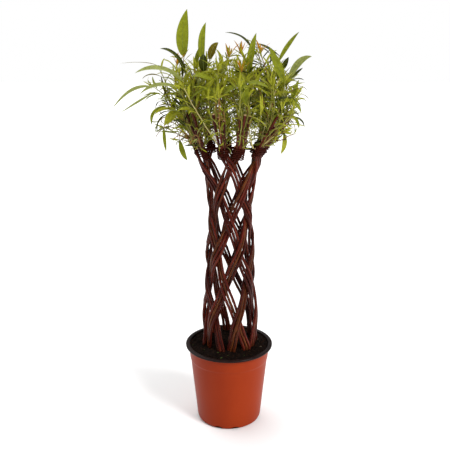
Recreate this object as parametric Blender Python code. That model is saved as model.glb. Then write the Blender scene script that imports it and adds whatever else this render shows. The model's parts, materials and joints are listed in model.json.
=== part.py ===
"""A woven willow in its nursery pot.

Twelve stems, each a band of three rods, stand in the potting mix and are woven into a
hollow column, six turning one way and six the other. A tie round each stem and a hoop
behind them hold the weave open at its top. Above the ties the stems flare out and end
where they enter the foliage.

Metres, +Z up. The origin is the centre of the pot's flat underside, and -Y is the front.
Azimuths are in degrees, from +X towards +Y.
"""

import math

import bmesh
import bpy
from mathutils import Vector, noise

# Fits: touching pieces keep this gap
GAP = 0.0003

# Pot: a thin tapered container with a rolled lip
POT_HEIGHT = 0.1925
POT_BASE_RADIUS = 0.077
POT_TOP_RADIUS = 0.097
POT_WALL = 0.0016
POT_FLOOR = 0.002
POT_SEGMENTS = 40
FOOT_CHAMFER = 0.003
STEP_HEIGHT = 0.153
STEP_OUT = 0.0012
LIP_RADIUS = 0.105
LIP_HEIGHT = 0.005
LIP_ROUND = 0.0012
DRAIN_AZIMUTHS = (11.0, 71.0, 101.0, 161.0, 191.0, 251.0, 281.0, 341.0)
DRAIN_WIDTH = 0.018
DRAIN_HEIGHT = 0.0045
DRAIN_DEPTH = 0.008

# Potting mix: mounded in the middle, lower at the wall
SOIL_MOUND_RADIUS = 0.074
SOIL_TOP = POT_HEIGHT + 0.0075
SOIL_EDGE = POT_HEIGHT - 0.0035

# Woven stems
STEMS_EACH_WAY = 6
STEM_SPACING = 360.0 / STEMS_EACH_WAY
STEM_FOOT = SOIL_TOP + GAP
STEM_END = 0.700
STEM_SPANS_BELOW_TIE = 20
STEM_SPANS_ABOVE_TIE = 2
RODS_PER_STEM = 3
ROD_DIAMETER_FOOT = 0.0068
ROD_DIAMETER_END = 0.0056
ROD_PITCH_FOOT = 0.0074
ROD_PITCH_END = 0.0060
# Half the distance between the rods that cross, as a share of a rod's diameter
WEAVE_LIFT = 0.76
# The lift fades out over this stretch, above the last crossing
LIFT_FADE = (0.668, 0.700)
# Corners of the band's section, as shares of its half width and half thickness
SECTION = (
    (-1.0, 0.0), (-0.62, -1.0), (0.0, -1.0), (0.62, -1.0),
    (1.0, 0.0), (0.62, 1.0), (0.0, 1.0), (-0.62, 1.0),
)
# How far the column's axis stands from the pot's, towards +X
COLUMN_MIDDLE = 0.003
# Height and mean radius of the column
COLUMN_RADIUS = (
    (0.200, 0.0620), (0.26, 0.0595), (0.34, 0.0550), (0.42, 0.0505),
    (0.50, 0.0467), (0.58, 0.0500), (0.658, 0.0745),
)
# Height and turn, in degrees from the ties down, of the stems that turn each way
TURN_EAST = (
    (0.200, 180.0), (0.26, 162.5), (0.34, 134.5), (0.42, 106.5),
    (0.50, 77.5), (0.58, 37.0), (0.66, 0.0),
)
TURN_WEST = (
    (0.200, 186.0), (0.26, 174.5), (0.34, 147.0), (0.42, 111.0),
    (0.50, 74.5), (0.58, 36.5), (0.66, 0.0),
)
# Azimuth of each stem at the ties, less its even share of the circle
START_EAST = (13.0, 10.0, 7.5, 11.5, 18.5, 19.5)
START_WEST = (-17.5, -21.5, -23.0, -24.0, -19.5, -17.0)

# Flare, above this height: run out for each metre of rise, and how much more at +X
FLARE_HEIGHT = 0.658
FLARE = 0.60
FLARE_LEAN = 0.20

# Ties and hoop
TIE_MIDDLE = 0.663
TIE_LENGTH = 0.024
TIE_THICKNESS = 0.0014
TIE_GAP = 0.0007
TIE_LOW = TIE_MIDDLE - TIE_LENGTH / 2.0
TIE_HIGH = TIE_MIDDLE + TIE_LENGTH / 2.0
HOOP_RADIUS = 0.0600
HOOP_CORD = 0.0048
HOOP_HEIGHT = 0.658
HOOP_SPAN = (25.0, 155.0)
HOOP_STATIONS = 14
HOOP_SIDES = 6

# Foliage: the masses stand over the stem ends, and the hanging ones lie outside them
MASS_SEGMENTS = 12
MASS_RINGS = 8
MASS_GAP = 0.0006
MASS_FLOOR = STEM_END + GAP
HANG_INSIDE = 0.118
UNEVENNESS = 0.26
UNEVEN_SCALE = 2.1
TIP_SPREAD = 0.42
TIP_SHARE = 0.72

# Name, azimuth, distance from the axis, height, and reach out, across, up and down
MASSES = (
    ("foliage_low_east", 0.0, 0.118, 0.765, 0.060, 0.085, 0.080, 0.080),
    ("foliage_low_north_east", 60.0, 0.120, 0.765, 0.066, 0.080, 0.075, 0.080),
    ("foliage_low_north_west", 120.0, 0.120, 0.760, 0.070, 0.080, 0.080, 0.080),
    ("foliage_low_west", 180.0, 0.122, 0.765, 0.080, 0.085, 0.075, 0.080),
    ("foliage_low_south_west", 240.0, 0.118, 0.765, 0.070, 0.080, 0.080, 0.080),
    ("foliage_low_south_east", 300.0, 0.118, 0.760, 0.066, 0.080, 0.075, 0.080),
    ("foliage_high_east", 20.0, 0.092, 0.858, 0.066, 0.060, 0.052, 0.060),
    ("foliage_high_north", 85.0, 0.085, 0.858, 0.070, 0.064, 0.058, 0.060),
    ("foliage_high_north_west", 150.0, 0.092, 0.855, 0.070, 0.064, 0.050, 0.060),
    ("foliage_high_west", 205.0, 0.094, 0.862, 0.066, 0.060, 0.048, 0.060),
    ("foliage_high_south", 265.0, 0.085, 0.855, 0.072, 0.064, 0.056, 0.060),
    ("foliage_high_south_east", 325.0, 0.090, 0.855, 0.068, 0.060, 0.050, 0.060),
    ("foliage_heart", 0.0, 0.000, 0.800, 0.060, 0.060, 0.060, 0.120),
    ("foliage_top", 185.0, 0.022, 0.900, 0.052, 0.060, 0.036, 0.060),
)
# The same for the hanging masses
HANGING = (
    ("foliage_hanging_east", 352.0, 0.135, 0.690, 0.022, 0.045, 0.045, 0.034),
    ("foliage_hanging_north", 95.0, 0.142, 0.690, 0.026, 0.050, 0.045, 0.036),
    ("foliage_hanging_west", 188.0, 0.140, 0.685, 0.030, 0.055, 0.045, 0.040),
    ("foliage_hanging_south", 282.0, 0.138, 0.692, 0.022, 0.042, 0.045, 0.030),
)
# Furthest leaf and shoot tips
TIPS = (
    (-0.091, 0.010, 0.964), (-0.050, -0.045, 0.938), (0.004, 0.020, 0.930),
    (0.058, 0.045, 0.914), (0.150, 0.010, 0.916), (0.176, -0.020, 0.864),
    (0.168, 0.040, 0.780), (-0.148, 0.030, 0.884), (-0.236, -0.020, 0.846),
    (-0.205, -0.045, 0.826), (-0.258, 0.005, 0.752), (-0.236, 0.040, 0.742),
    (-0.150, 0.035, 0.652), (0.128, -0.030, 0.662), (-0.040, -0.190, 0.800),
    (0.070, -0.180, 0.850), (0.095, -0.175, 0.735), (0.020, 0.205, 0.830),
    (-0.095, 0.185, 0.770), (0.110, 0.170, 0.750), (-0.060, 0.160, 0.905),
)

# Colour, roughness and metallic of each material
TERRACOTTA = ((0.34, 0.065, 0.028, 1.0), 0.45, 0.0)
BLACK_EARTH = ((0.010, 0.008, 0.006, 1.0), 0.95, 0.0)
RED_BARK = ((0.085, 0.018, 0.010, 1.0), 0.50, 0.0)
DARK_CORD = ((0.012, 0.008, 0.006, 1.0), 0.80, 0.0)
LEAF_GREEN = ((0.130, 0.170, 0.022, 1.0), 0.55, 0.0)


def remove_all_objects():
    """Empties the scene."""
    for old in list(bpy.data.objects):
        bpy.data.objects.remove(old)


def make_material(name, look):
    """A plain Principled material."""
    colour, roughness, metallic = look
    material = bpy.data.materials.new(name)
    material.use_nodes = True
    shader = material.node_tree.nodes["Principled BSDF"]
    shader.inputs["Base Color"].default_value = colour
    shader.inputs["Roughness"].default_value = roughness
    shader.inputs["Metallic"].default_value = metallic
    return material


def add_object(name, points, faces, material, smooth=True):
    """One object from points and faces, with its faces turned outwards."""
    mesh = bpy.data.meshes.new(name)
    mesh.from_pydata([tuple(point) for point in points], [], faces)
    shape = bmesh.new()
    shape.from_mesh(mesh)
    bmesh.ops.recalc_face_normals(shape, faces=shape.faces)
    shape.to_mesh(mesh)
    shape.free()
    mesh.materials.append(material)
    if smooth:
        mesh.shade_smooth()
        mesh.set_sharp_from_angle(angle=math.radians(40.0))
    thing = bpy.data.objects.new(name, mesh)
    bpy.context.scene.collection.objects.link(thing)
    return thing


def smooth_value(knots, at):
    """The value at a height, on a smooth curve through (height, value) knots."""
    if at <= knots[0][0]:
        return knots[0][1]
    if at >= knots[-1][0]:
        return knots[-1][1]
    slopes = []
    for index in range(len(knots)):
        before = knots[max(index - 1, 0)]
        after = knots[min(index + 1, len(knots) - 1)]
        slopes.append((after[1] - before[1]) / (after[0] - before[0]))
    index = 0
    while at > knots[index + 1][0]:
        index += 1
    start, end = knots[index], knots[index + 1]
    width = end[0] - start[0]
    share = (at - start[0]) / width
    value = (2.0 * share ** 3 - 3.0 * share ** 2 + 1.0) * start[1]
    value += (share ** 3 - 2.0 * share ** 2 + share) * width * slopes[index]
    value += (3.0 * share ** 2 - 2.0 * share ** 3) * end[1]
    value += (share ** 3 - share ** 2) * width * slopes[index + 1]
    return value


def fade(at, start, end):
    """1 up to start, 0 from end, and smooth between."""
    share = min(max((at - start) / (end - start), 0.0), 1.0)
    return 1.0 - share * share * (3.0 - 2.0 * share)


def mix(start, end, share):
    """A straight blend of two values."""
    return start + (end - start) * share


def on_circle(azimuth, radius, height):
    """A point from an azimuth in degrees, a distance from the axis and a height."""
    angle = math.radians(azimuth)
    return Vector((radius * math.cos(angle), radius * math.sin(angle), height))


def on_column(azimuth, radius, height):
    """The same, from the woven column's axis."""
    return on_circle(azimuth, radius, height) + Vector((COLUMN_MIDDLE, 0.0, 0.0))


def loop_tube(rings, closed=False):
    """Faces that join equal rings of points in order, with flat ends unless closed."""
    size = len(rings[0])
    points = [point for ring in rings for point in ring]
    faces = []
    spans = len(rings) if closed else len(rings) - 1
    for row in range(spans):
        low = row * size
        high = ((row + 1) % len(rings)) * size
        for side in range(size):
            after = (side + 1) % size
            faces.append((low + side, low + after, high + after, high + side))
    if not closed:
        faces.append(tuple(reversed(range(size))))
        faces.append(tuple(range(len(points) - size, len(points))))
    return points, faces


def turned(name, profile, segments, material):
    """A solid of revolution. The profile's first and last points are on the axis."""
    points = [Vector((0.0, 0.0, profile[0][1]))]
    for radius, height in profile[1:-1]:
        for step in range(segments):
            points.append(on_circle(360.0 * step / segments, radius, height))
    points.append(Vector((0.0, 0.0, profile[-1][1])))
    faces = []
    last_ring = 1 + segments * (len(profile) - 3)
    for step in range(segments):
        after = (step + 1) % segments
        faces.append((0, 1 + after, 1 + step))
        faces.append((len(points) - 1, last_ring + step, last_ring + after))
        for row in range(len(profile) - 3):
            low = 1 + row * segments
            high = low + segments
            faces.append((low + step, low + after, high + after, high + step))
    return add_object(name, points, faces, material)


def body_radius(height):
    """The outside of the pot's tapered body."""
    return mix(POT_BASE_RADIUS, POT_TOP_RADIUS, height / POT_HEIGHT)


def inner_radius(height):
    """The inside of the pot's wall."""
    return body_radius(height) - POT_WALL


def make_pot(material):
    """The container: body, faint step, rolled lip and the drain slots round its foot."""
    lip_foot = POT_HEIGHT - LIP_HEIGHT
    profile = [
        (0.0, 0.0),
        (POT_BASE_RADIUS - FOOT_CHAMFER, 0.0),
        (body_radius(FOOT_CHAMFER), FOOT_CHAMFER),
        (body_radius(STEP_HEIGHT), STEP_HEIGHT),
        (body_radius(STEP_HEIGHT) + STEP_OUT, STEP_HEIGHT + STEP_OUT),
        (body_radius(lip_foot) + STEP_OUT, lip_foot),
        (LIP_RADIUS - LIP_ROUND, lip_foot),
        (LIP_RADIUS, lip_foot + LIP_ROUND),
        (LIP_RADIUS, POT_HEIGHT - LIP_ROUND),
        (LIP_RADIUS - LIP_ROUND, POT_HEIGHT),
        (inner_radius(POT_HEIGHT), POT_HEIGHT),
        (inner_radius(POT_FLOOR), POT_FLOOR),
        (0.0, POT_FLOOR),
    ]
    pot = turned("pot", profile, POT_SEGMENTS, material)
    cutter_shape = bmesh.new()
    for azimuth in DRAIN_AZIMUTHS:
        made = bmesh.ops.create_cube(cutter_shape, size=1.0)
        for vertex in made["verts"]:
            along = vertex.co.x * 2.0 * DRAIN_DEPTH + POT_BASE_RADIUS
            across = vertex.co.y * DRAIN_WIDTH
            up = vertex.co.z * 2.0 * DRAIN_HEIGHT
            turn = math.radians(azimuth)
            vertex.co.x = along * math.cos(turn) - across * math.sin(turn)
            vertex.co.y = along * math.sin(turn) + across * math.cos(turn)
            vertex.co.z = up
    cutter_mesh = bpy.data.meshes.new("drain_cutter")
    cutter_shape.to_mesh(cutter_mesh)
    cutter_shape.free()
    cutter = bpy.data.objects.new("drain_cutter", cutter_mesh)
    bpy.context.scene.collection.objects.link(cutter)
    cutter.hide_render = True
    cutter.display_type = "WIRE"
    cut = pot.modifiers.new("drains", "BOOLEAN")
    cut.operation = "DIFFERENCE"
    cut.solver = "EXACT"
    cut.object = cutter


def make_soil(material):
    """The potting mix, which fills the pot and is mounded round the stems."""
    low = POT_FLOOR + GAP
    profile = [
        (0.0, low),
        (inner_radius(low) - GAP, low),
        (inner_radius(SOIL_EDGE) - GAP, SOIL_EDGE),
        (SOIL_MOUND_RADIUS, SOIL_TOP),
        (0.0, SOIL_TOP),
    ]
    turned("potting_mix", profile, POT_SEGMENTS, material)


def place_among(starts, azimuth):
    """An azimuth as a number that is whole at each stem of the other way, in order."""
    turns = math.floor((azimuth - starts[0]) / 360.0)
    azimuth -= 360.0 * turns
    marks = [start + STEM_SPACING * number for number, start in enumerate(starts)]
    marks.append(marks[0] + 360.0)
    number = 0
    while azimuth > marks[number + 1]:
        number += 1
    share = (azimuth - marks[number]) / (marks[number + 1] - marks[number])
    return number + share + STEMS_EACH_WAY * turns


class Stem:
    """One woven band of three rods."""

    def __init__(self, eastward, number):
        self.eastward = eastward
        self.number = number
        starts = START_EAST if eastward else START_WEST
        self.start = starts[number] + STEM_SPACING * number
        self.name = ("stem_east_" if eastward else "stem_west_") + str(number + 1)

    def azimuth(self, height):
        """The middle of the band."""
        if self.eastward:
            return self.start + smooth_value(TURN_EAST, height)
        return self.start - smooth_value(TURN_WEST, height)

    def lift(self, azimuth, height):
        """How far the weave lifts this stem out of the column's mean surface."""
        size = WEAVE_LIFT * rod_diameter(height) * fade(height, *LIFT_FADE)
        side = 1.0 if self.number % 2 == 0 else -1.0
        if self.eastward:
            place = azimuth + smooth_value(TURN_WEST, height)
            return -side * size * math.cos(math.pi * place_among(START_WEST, place))
        place = azimuth - smooth_value(TURN_EAST, height)
        return side * size * math.cos(math.pi * place_among(START_EAST, place))

    def radius(self, height):
        """The column's mean radius, and the flare above the ties."""
        if height <= FLARE_HEIGHT:
            return smooth_value(COLUMN_RADIUS, height)
        lean = FLARE + FLARE_LEAN * math.cos(math.radians(self.azimuth(height)))
        return COLUMN_RADIUS[-1][1] + lean * (height - FLARE_HEIGHT)

    def tilt(self, height):
        """How much longer the band is than its rise, where it runs round the column."""
        step = 0.002
        turn = self.azimuth(height + step) - self.azimuth(height - step)
        sideways = math.radians(turn) * self.radius(height) / (2.0 * step)
        return math.sqrt(1.0 + sideways * sideways)

    def section(self, height, extra=0.0):
        """The band's level outline at a height, grown by extra."""
        share = (height - STEM_FOOT) / (STEM_END - STEM_FOOT)
        half_width = RODS_PER_STEM * mix(ROD_PITCH_FOOT, ROD_PITCH_END, share) / 2.0
        half_width = (half_width + extra) * self.tilt(height)
        half_depth = rod_diameter(height) / 2.0 + extra
        radius = self.radius(height)
        ring = []
        for across, outward in SECTION:
            azimuth = self.azimuth(height) + math.degrees(across * half_width / radius)
            lift = self.lift(azimuth, height)
            ring.append(on_column(azimuth, radius + lift + outward * half_depth, height))
        return ring

    def make(self, material):
        """The stem, from its flat foot on the potting mix to its end in the foliage."""
        rings = [self.section(height) for height in stem_heights()]
        points, faces = loop_tube(rings)
        add_object(self.name, points, faces, material)

    def make_tie(self, material):
        """The binding round the stem, as a short sleeve."""
        rings = [
            self.section(TIE_LOW, TIE_GAP),
            self.section(TIE_LOW, TIE_GAP + TIE_THICKNESS),
            self.section(TIE_HIGH, TIE_GAP + TIE_THICKNESS),
            self.section(TIE_HIGH, TIE_GAP),
        ]
        points, faces = loop_tube(rings, closed=True)
        add_object(self.name.replace("stem", "tie"), points, faces, material)


def stem_heights():
    """Where a stem has a section: evenly up to its tie, at both its ends, and above it."""
    heights = []
    for span in range(STEM_SPANS_BELOW_TIE):
        heights.append(mix(STEM_FOOT, TIE_LOW, span / STEM_SPANS_BELOW_TIE))
    heights.append(TIE_LOW)
    for span in range(STEM_SPANS_ABOVE_TIE + 1):
        heights.append(mix(TIE_HIGH, STEM_END, span / STEM_SPANS_ABOVE_TIE))
    return heights


def rod_diameter(height):
    """A rod's thickness, which tapers from the foot up."""
    share = (height - STEM_FOOT) / (STEM_END - STEM_FOOT)
    return mix(ROD_DIAMETER_FOOT, ROD_DIAMETER_END, share)


def make_hoop(material):
    """The cord that runs inside the back stems, level with their ties."""
    rings = []
    for station in range(HOOP_STATIONS):
        azimuth = mix(HOOP_SPAN[0], HOOP_SPAN[1], station / (HOOP_STATIONS - 1))
        ring = []
        for side in range(HOOP_SIDES):
            angle = 2.0 * math.pi * side / HOOP_SIDES
            outward = HOOP_CORD / 2.0 * math.cos(angle)
            upward = HOOP_CORD / 2.0 * math.sin(angle)
            ring.append(on_column(azimuth, HOOP_RADIUS + outward, HOOP_HEIGHT + upward))
        rings.append(ring)
    points, faces = loop_tube(rings)
    add_object("binding_hoop", points, faces, material)


class Mass:
    """One closed mass of foliage, seen from its own centre."""

    def __init__(self, sizes, hanging, seed):
        self.name, azimuth, distance, height = sizes[:4]
        self.out, self.across, self.up, self.down = sizes[4:]
        self.hanging = hanging
        self.seed = seed
        self.centre = on_circle(azimuth, distance, height)
        self.outward = on_circle(azimuth, 1.0, 0.0)
        self.sideways = on_circle(azimuth + 90.0, 1.0, 0.0)
        self.tips = []
        self.walls = []

    def add_wall(self, normal, point):
        """Keeps the mass behind a plane, whose normal points out of it."""
        self.walls.append((normal, normal.dot(point)))

    def add_walls(self, others):
        """Walls half-way to each neighbour, and clear of the stems."""
        for other in others:
            if other is not self:
                normal = (other.centre - self.centre).normalized()
                middle = (other.centre + self.centre) / 2.0
                self.add_wall(normal, middle - normal * MASS_GAP)
        if self.hanging:
            self.add_wall(-self.outward, self.outward * HANG_INSIDE)
        else:
            self.add_wall(Vector((0.0, 0.0, -1.0)), Vector((0.0, 0.0, MASS_FLOOR)))

    def inside(self, direction, length):
        """The length, cut short where it would pass a wall."""
        for normal, limit in self.walls:
            toward = normal.dot(direction)
            if toward > 0.0:
                length = min(length, (limit - normal.dot(self.centre)) / toward)
        return length

    def reach(self, direction):
        """How far the mass reaches in a direction."""
        rise = direction.z
        vertical = self.up if rise > 0.0 else self.down
        form = (direction.dot(self.outward) / self.out) ** 2
        form += (direction.dot(self.sideways) / self.across) ** 2
        form += (rise / vertical) ** 2
        place = direction * UNEVEN_SCALE + Vector((self.seed * 7.3, 0.0, self.seed * 3.1))
        length = (1.0 + UNEVENNESS * 2.0 * noise.noise(place)) / math.sqrt(form)
        for tip in self.tips:
            line = tip - self.centre
            apart = direction.angle(line.normalized())
            lobe = TIP_SHARE * line.length * math.exp(-(apart / TIP_SPREAD) ** 2)
            length = max(length, lobe)
        return self.inside(direction, length)

    def make(self, material):
        """The solid, with its nearest points pulled out to the furthest tips."""
        shape = bmesh.new()
        bmesh.ops.create_uvsphere(
            shape, u_segments=MASS_SEGMENTS, v_segments=MASS_RINGS, radius=1.0)
        directions = [vertex.co.normalized() for vertex in shape.verts]
        faces = [tuple(vertex.index for vertex in face.verts) for face in shape.faces]
        shape.free()
        points = [self.centre + line * self.reach(line) for line in directions]
        for tip in self.tips:
            line = (tip - self.centre).normalized()
            nearest = max(range(len(points)), key=lambda index: line.dot(directions[index]))
            points[nearest] = self.centre + line * self.inside(line, (tip - self.centre).length)
        faces = split_quads(faces)
        add_object(self.name, points, faces, material, smooth=False)


def split_quads(faces):
    """Every face as triangles, so that uneven quads stay closed and exact."""
    triangles = []
    for face in faces:
        for corner in range(1, len(face) - 1):
            triangles.append((face[0], face[corner], face[corner + 1]))
    return triangles


def make_foliage(material):
    """All the masses, each in its own share of the crown."""
    masses = []
    for sizes in MASSES:
        masses.append(Mass(sizes, False, len(masses)))
    for sizes in HANGING:
        masses.append(Mass(sizes, True, len(masses)))
    for tip in TIPS:
        point = Vector(tip)
        nearest = min(masses, key=lambda mass: (mass.centre - point).length)
        nearest.tips.append(point)
    for mass in masses:
        mass.add_walls(masses)
        mass.make(material)


def main():
    """Builds every piece."""
    remove_all_objects()
    bark = make_material("bark", RED_BARK)
    cord = make_material("cord", DARK_CORD)
    make_pot(make_material("pot", TERRACOTTA))
    make_soil(make_material("potting_mix", BLACK_EARTH))
    for eastward in (True, False):
        for number in range(STEMS_EACH_WAY):
            stem = Stem(eastward, number)
            stem.make(bark)
            stem.make_tie(cord)
    make_hoop(cord)
    make_foliage(make_material("foliage", LEAF_GREEN))


main()
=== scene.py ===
"""The looks of the potted willow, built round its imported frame.

Every rod of the woven stems is modelled with its bark, buds and cut end, and every tie as
turns of twine. The foliage grows by a seeded rule: shoots rise from the cut rods towards
places in the crown, and leaves stand along the shoots.

Metres, +Z up, and -Y is the front. Azimuths are in degrees, from +X towards +Y.
"""

import json
import math
import random

import bmesh
import bpy
from mathutils import Matrix, Vector, noise

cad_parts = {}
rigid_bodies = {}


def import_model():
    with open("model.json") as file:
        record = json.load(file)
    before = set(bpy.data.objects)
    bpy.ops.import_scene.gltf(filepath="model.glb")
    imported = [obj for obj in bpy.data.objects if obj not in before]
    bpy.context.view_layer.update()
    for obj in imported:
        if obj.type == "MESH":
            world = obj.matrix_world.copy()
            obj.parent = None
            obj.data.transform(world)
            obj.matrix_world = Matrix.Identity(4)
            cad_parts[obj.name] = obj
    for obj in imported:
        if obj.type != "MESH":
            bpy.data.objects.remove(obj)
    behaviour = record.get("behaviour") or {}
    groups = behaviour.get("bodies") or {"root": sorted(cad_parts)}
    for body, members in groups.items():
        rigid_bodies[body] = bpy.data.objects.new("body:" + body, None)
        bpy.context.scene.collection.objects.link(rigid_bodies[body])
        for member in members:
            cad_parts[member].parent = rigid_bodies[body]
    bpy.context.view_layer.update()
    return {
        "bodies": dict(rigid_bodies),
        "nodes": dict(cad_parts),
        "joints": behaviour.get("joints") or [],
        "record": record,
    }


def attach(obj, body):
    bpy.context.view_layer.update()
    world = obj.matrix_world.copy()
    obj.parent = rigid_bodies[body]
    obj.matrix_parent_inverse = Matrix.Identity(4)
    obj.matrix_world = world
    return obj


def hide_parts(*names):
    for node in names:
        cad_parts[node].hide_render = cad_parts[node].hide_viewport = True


# Pot, as in the frame: its heights and radii, and the finer shapes
POT_HEIGHT = 0.1925
POT_BASE_RADIUS = 0.077
POT_TOP_RADIUS = 0.097
POT_WALL = 0.0016
POT_FLOOR = 0.002
STEP_HEIGHT = 0.153
STEP_OUT = 0.0012
STEP_RISE = 0.0060
LIP_RADIUS = 0.105
LIP_HEIGHT = 0.005
LIP_ROUND = 0.0022
LINING_DEPTH = 0.030
LINING_THICK = 0.0004
POT_SEGMENTS = 192
FOOT_ROUND = 0.006
FOOT_RING = 0.010
FOOT_BEVEL = 0.0005
BASE_RECESS = 0.0015
DRAIN_AZIMUTHS = (11.0, 71.0, 101.0, 161.0, 191.0, 251.0, 281.0, 341.0)
DRAIN_WIDTH = 0.018
DRAIN_MIDDLE = 0.0032
DRAIN_HEIGHT = 0.0056
DRAIN_DEPTH = 0.010

# Potting mix
SOIL_TOP = POT_HEIGHT + 0.0075
SOIL_EDGE = POT_HEIGHT - 0.0035
SOIL_RINGS = 70
SOIL_SPOKES = 200
SOIL_CHIPS = 1500
SOIL_FIBRES = 160
SOIL_BITS = 14

# Woven stems, as in the frame: the column's radius and each way's turn are smooth curves
# through (height, value) knots
STEMS_EACH_WAY = 6
STEM_SPACING = 360.0 / STEMS_EACH_WAY
STEM_FOOT = SOIL_TOP + 0.0003
STEM_END = 0.700
ROD_DIAMETER_FOOT = 0.0068
ROD_DIAMETER_END = 0.0056
WEAVE_LIFT = 0.76
LIFT_FADE = (0.668, 0.700)
COLUMN_MIDDLE = 0.003
COLUMN_RADIUS = (
    (0.200, 0.0620), (0.26, 0.0595), (0.34, 0.0550), (0.42, 0.0505),
    (0.50, 0.0467), (0.58, 0.0500), (0.658, 0.0745),
)
TURN_EAST = (
    (0.200, 180.0), (0.26, 162.5), (0.34, 134.5), (0.42, 106.5),
    (0.50, 77.5), (0.58, 37.0), (0.66, 0.0),
)
TURN_WEST = (
    (0.200, 186.0), (0.26, 174.5), (0.34, 147.0), (0.42, 111.0),
    (0.50, 74.5), (0.58, 36.5), (0.66, 0.0),
)
START_EAST = (13.0, 10.0, 7.5, 11.5, 18.5, 19.5)
START_WEST = (-17.5, -21.5, -23.0, -24.0, -19.5, -17.0)
TIE_HEIGHT = 0.658
FLARE = 0.60
FLARE_LEAN = 0.20

# Rods: what the frame's plain bands leave out
RODS = (-1, 0, 1)
ROD_SINK = 0.005
ROD_STEP = 0.0022
ROD_SIDES = 14
ROD_GIRTH = (0.92, 1.07)
ROD_TOPS = (0.706, 0.752)
# Height and distance between neighbouring rods of a stem
ROD_PITCH = (
    (0.200, 0.0067), (0.30, 0.0067), (0.42, 0.0069), (0.54, 0.0070),
    (0.635, 0.0068), (0.663, 0.0058), (0.700, 0.0076), (0.740, 0.0104),
)
WANDER_ACROSS = 0.0011
WANDER_OUT = 0.0005
WANDER_RATE = 17.0
BARK_RELIEF = 0.05
# Bark kinds: in the grooves, where the dark is painted shade; on the rod; and where it is warmest, on
# the ridges, partly the bark's own tone and partly painted highlight; and the share of each
BARKS = {
    "maroon": ((0.012, 0.0010, 0.0006), (0.060, 0.0050, 0.0024), (0.150, 0.022, 0.009)),
    "red": ((0.022, 0.0020, 0.0010), (0.120, 0.0110, 0.0050), (0.270, 0.050, 0.018)),
    "brown": ((0.018, 0.0026, 0.0009), (0.095, 0.0150, 0.0040), (0.240, 0.062, 0.015)),
    "tawny": ((0.020, 0.0036, 0.0010), (0.110, 0.0240, 0.0050), (0.310, 0.110, 0.026)),
}
BARK_SHARES = (0.30, 0.38, 0.20, 0.12)
BUD_SPACING = (0.022, 0.036)
BUD_LENGTH = 0.0052
BUD_HALF_WIDTH = 0.0011
BUD_HALF_DEPTH = 0.0009
STUBS_PER_STEM = 3
STUB_HEIGHTS = (0.664, 0.700)
STUB_LENGTHS = (0.006, 0.012)
STUB_RADII = (0.0012, 0.0020)

# Twine: the ties' turns bulge past the rods at both sides by TIE_STAND_OUT, and the hoop
# runs inside the stems whose azimuths lie in HOOP_SPAN
TIE_TURNS = 6
TIE_STEPS = 30
TIE_STAND_OUT = 0.0022
TIE_MIDDLE = 0.662
TIE_LENGTH = 0.030
TWINE_RADIUS = 0.0015
TWINE_TWIST = 700.0
TIE_TAILS = 2
TAIL_LENGTHS = (0.006, 0.011)
HOOP_HEIGHT = 0.658
HOOP_INSIDE = 0.0050
HOOP_THICK = 0.0058
HOOP_SPAN = (8.0, 172.0)

# Crown: the top drops by the shoulder at the rim, and the floor rises by the skirt's slope
# outside SKIRT_INSIDE. Shoots end below the top by their headroom.
CROWN_MIDDLE = (-0.009, 0.004)
CROWN_RADIUS = 0.166
CROWN_TOP = 0.888
CROWN_SHOULDER = 0.080
CROWN_FLOOR = 0.664
CROWN_SKIRT = 0.6
SKIRT_INSIDE = 0.10
SHOOTS_PER_ROD = 4
SHOOT_LEAN = 1.36
LOW_PLACE = 0.72
INWARD_SHARE = 0.45
SHOOT_DRIFT = 0.020
SHOOT_HEADROOM = 0.040
LOW_SHOOTS_PER_ROD = 6
LEAF_STATIONS = 11
LEAF_ACROSS = (-1.0, -0.55, 0.0, 0.55, 1.0)
LEAF_SLACK = 0.020
LEAF_WIDTHS = (0.0028, 0.019)
LEAF_FITS = 3
LEAF_SPACING = (0.0120, 0.0080)
OTHER_KIND_SHARE = 0.16
RIB_RADII = (0.00042, 0.00010)
RIB_SIDES = 3
PETIOLE_LENGTH = 0.0035
PETIOLE_RADIUS = 0.00055
FEATURE_STATIONS = 16
# Which way the upper face of a leaf that stands out is turned
FACINGS = {
    "front": (0.0, -1.0, 0.25),
    "half": (0.1, -0.62, 0.78),
    "edge": (0.0, -0.1, 1.0),
}
# Shoots: where they leave a rod, leaf lengths, leaf widths as shares, and bare lengths
SHOOT_START = 0.672
SHOOT_STEP = 0.005
SHOOT_WOBBLE = 0.0035
SHOOT_RADII = (0.0010, 0.0016)
SHOOT_TIP_RADIUS = 0.00075
SHOOT_FULL_LENGTH = 0.14
SHOOT_SIDES = 7
TAN_SHARE = 0.30
SHOOT_FIRST_LEAF = 0.012
UPRIGHT_LEAVES = (0.050, 0.092)
UPRIGHT_SLIM = (0.06, 0.07, 0.085, 0.13)
UPRIGHT_BARE = (0.020, 0.080)
LOW_START = 0.668
LOW_REACH = (0.014, 0.048)
LOW_DRIFT = 0.030
LOW_LEAVES = (0.024, 0.046)
LOW_SLIM = (0.09, 0.12, 0.16)
LOW_BARE = 0.006
GOLDEN_TURN = 137.5

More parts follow.
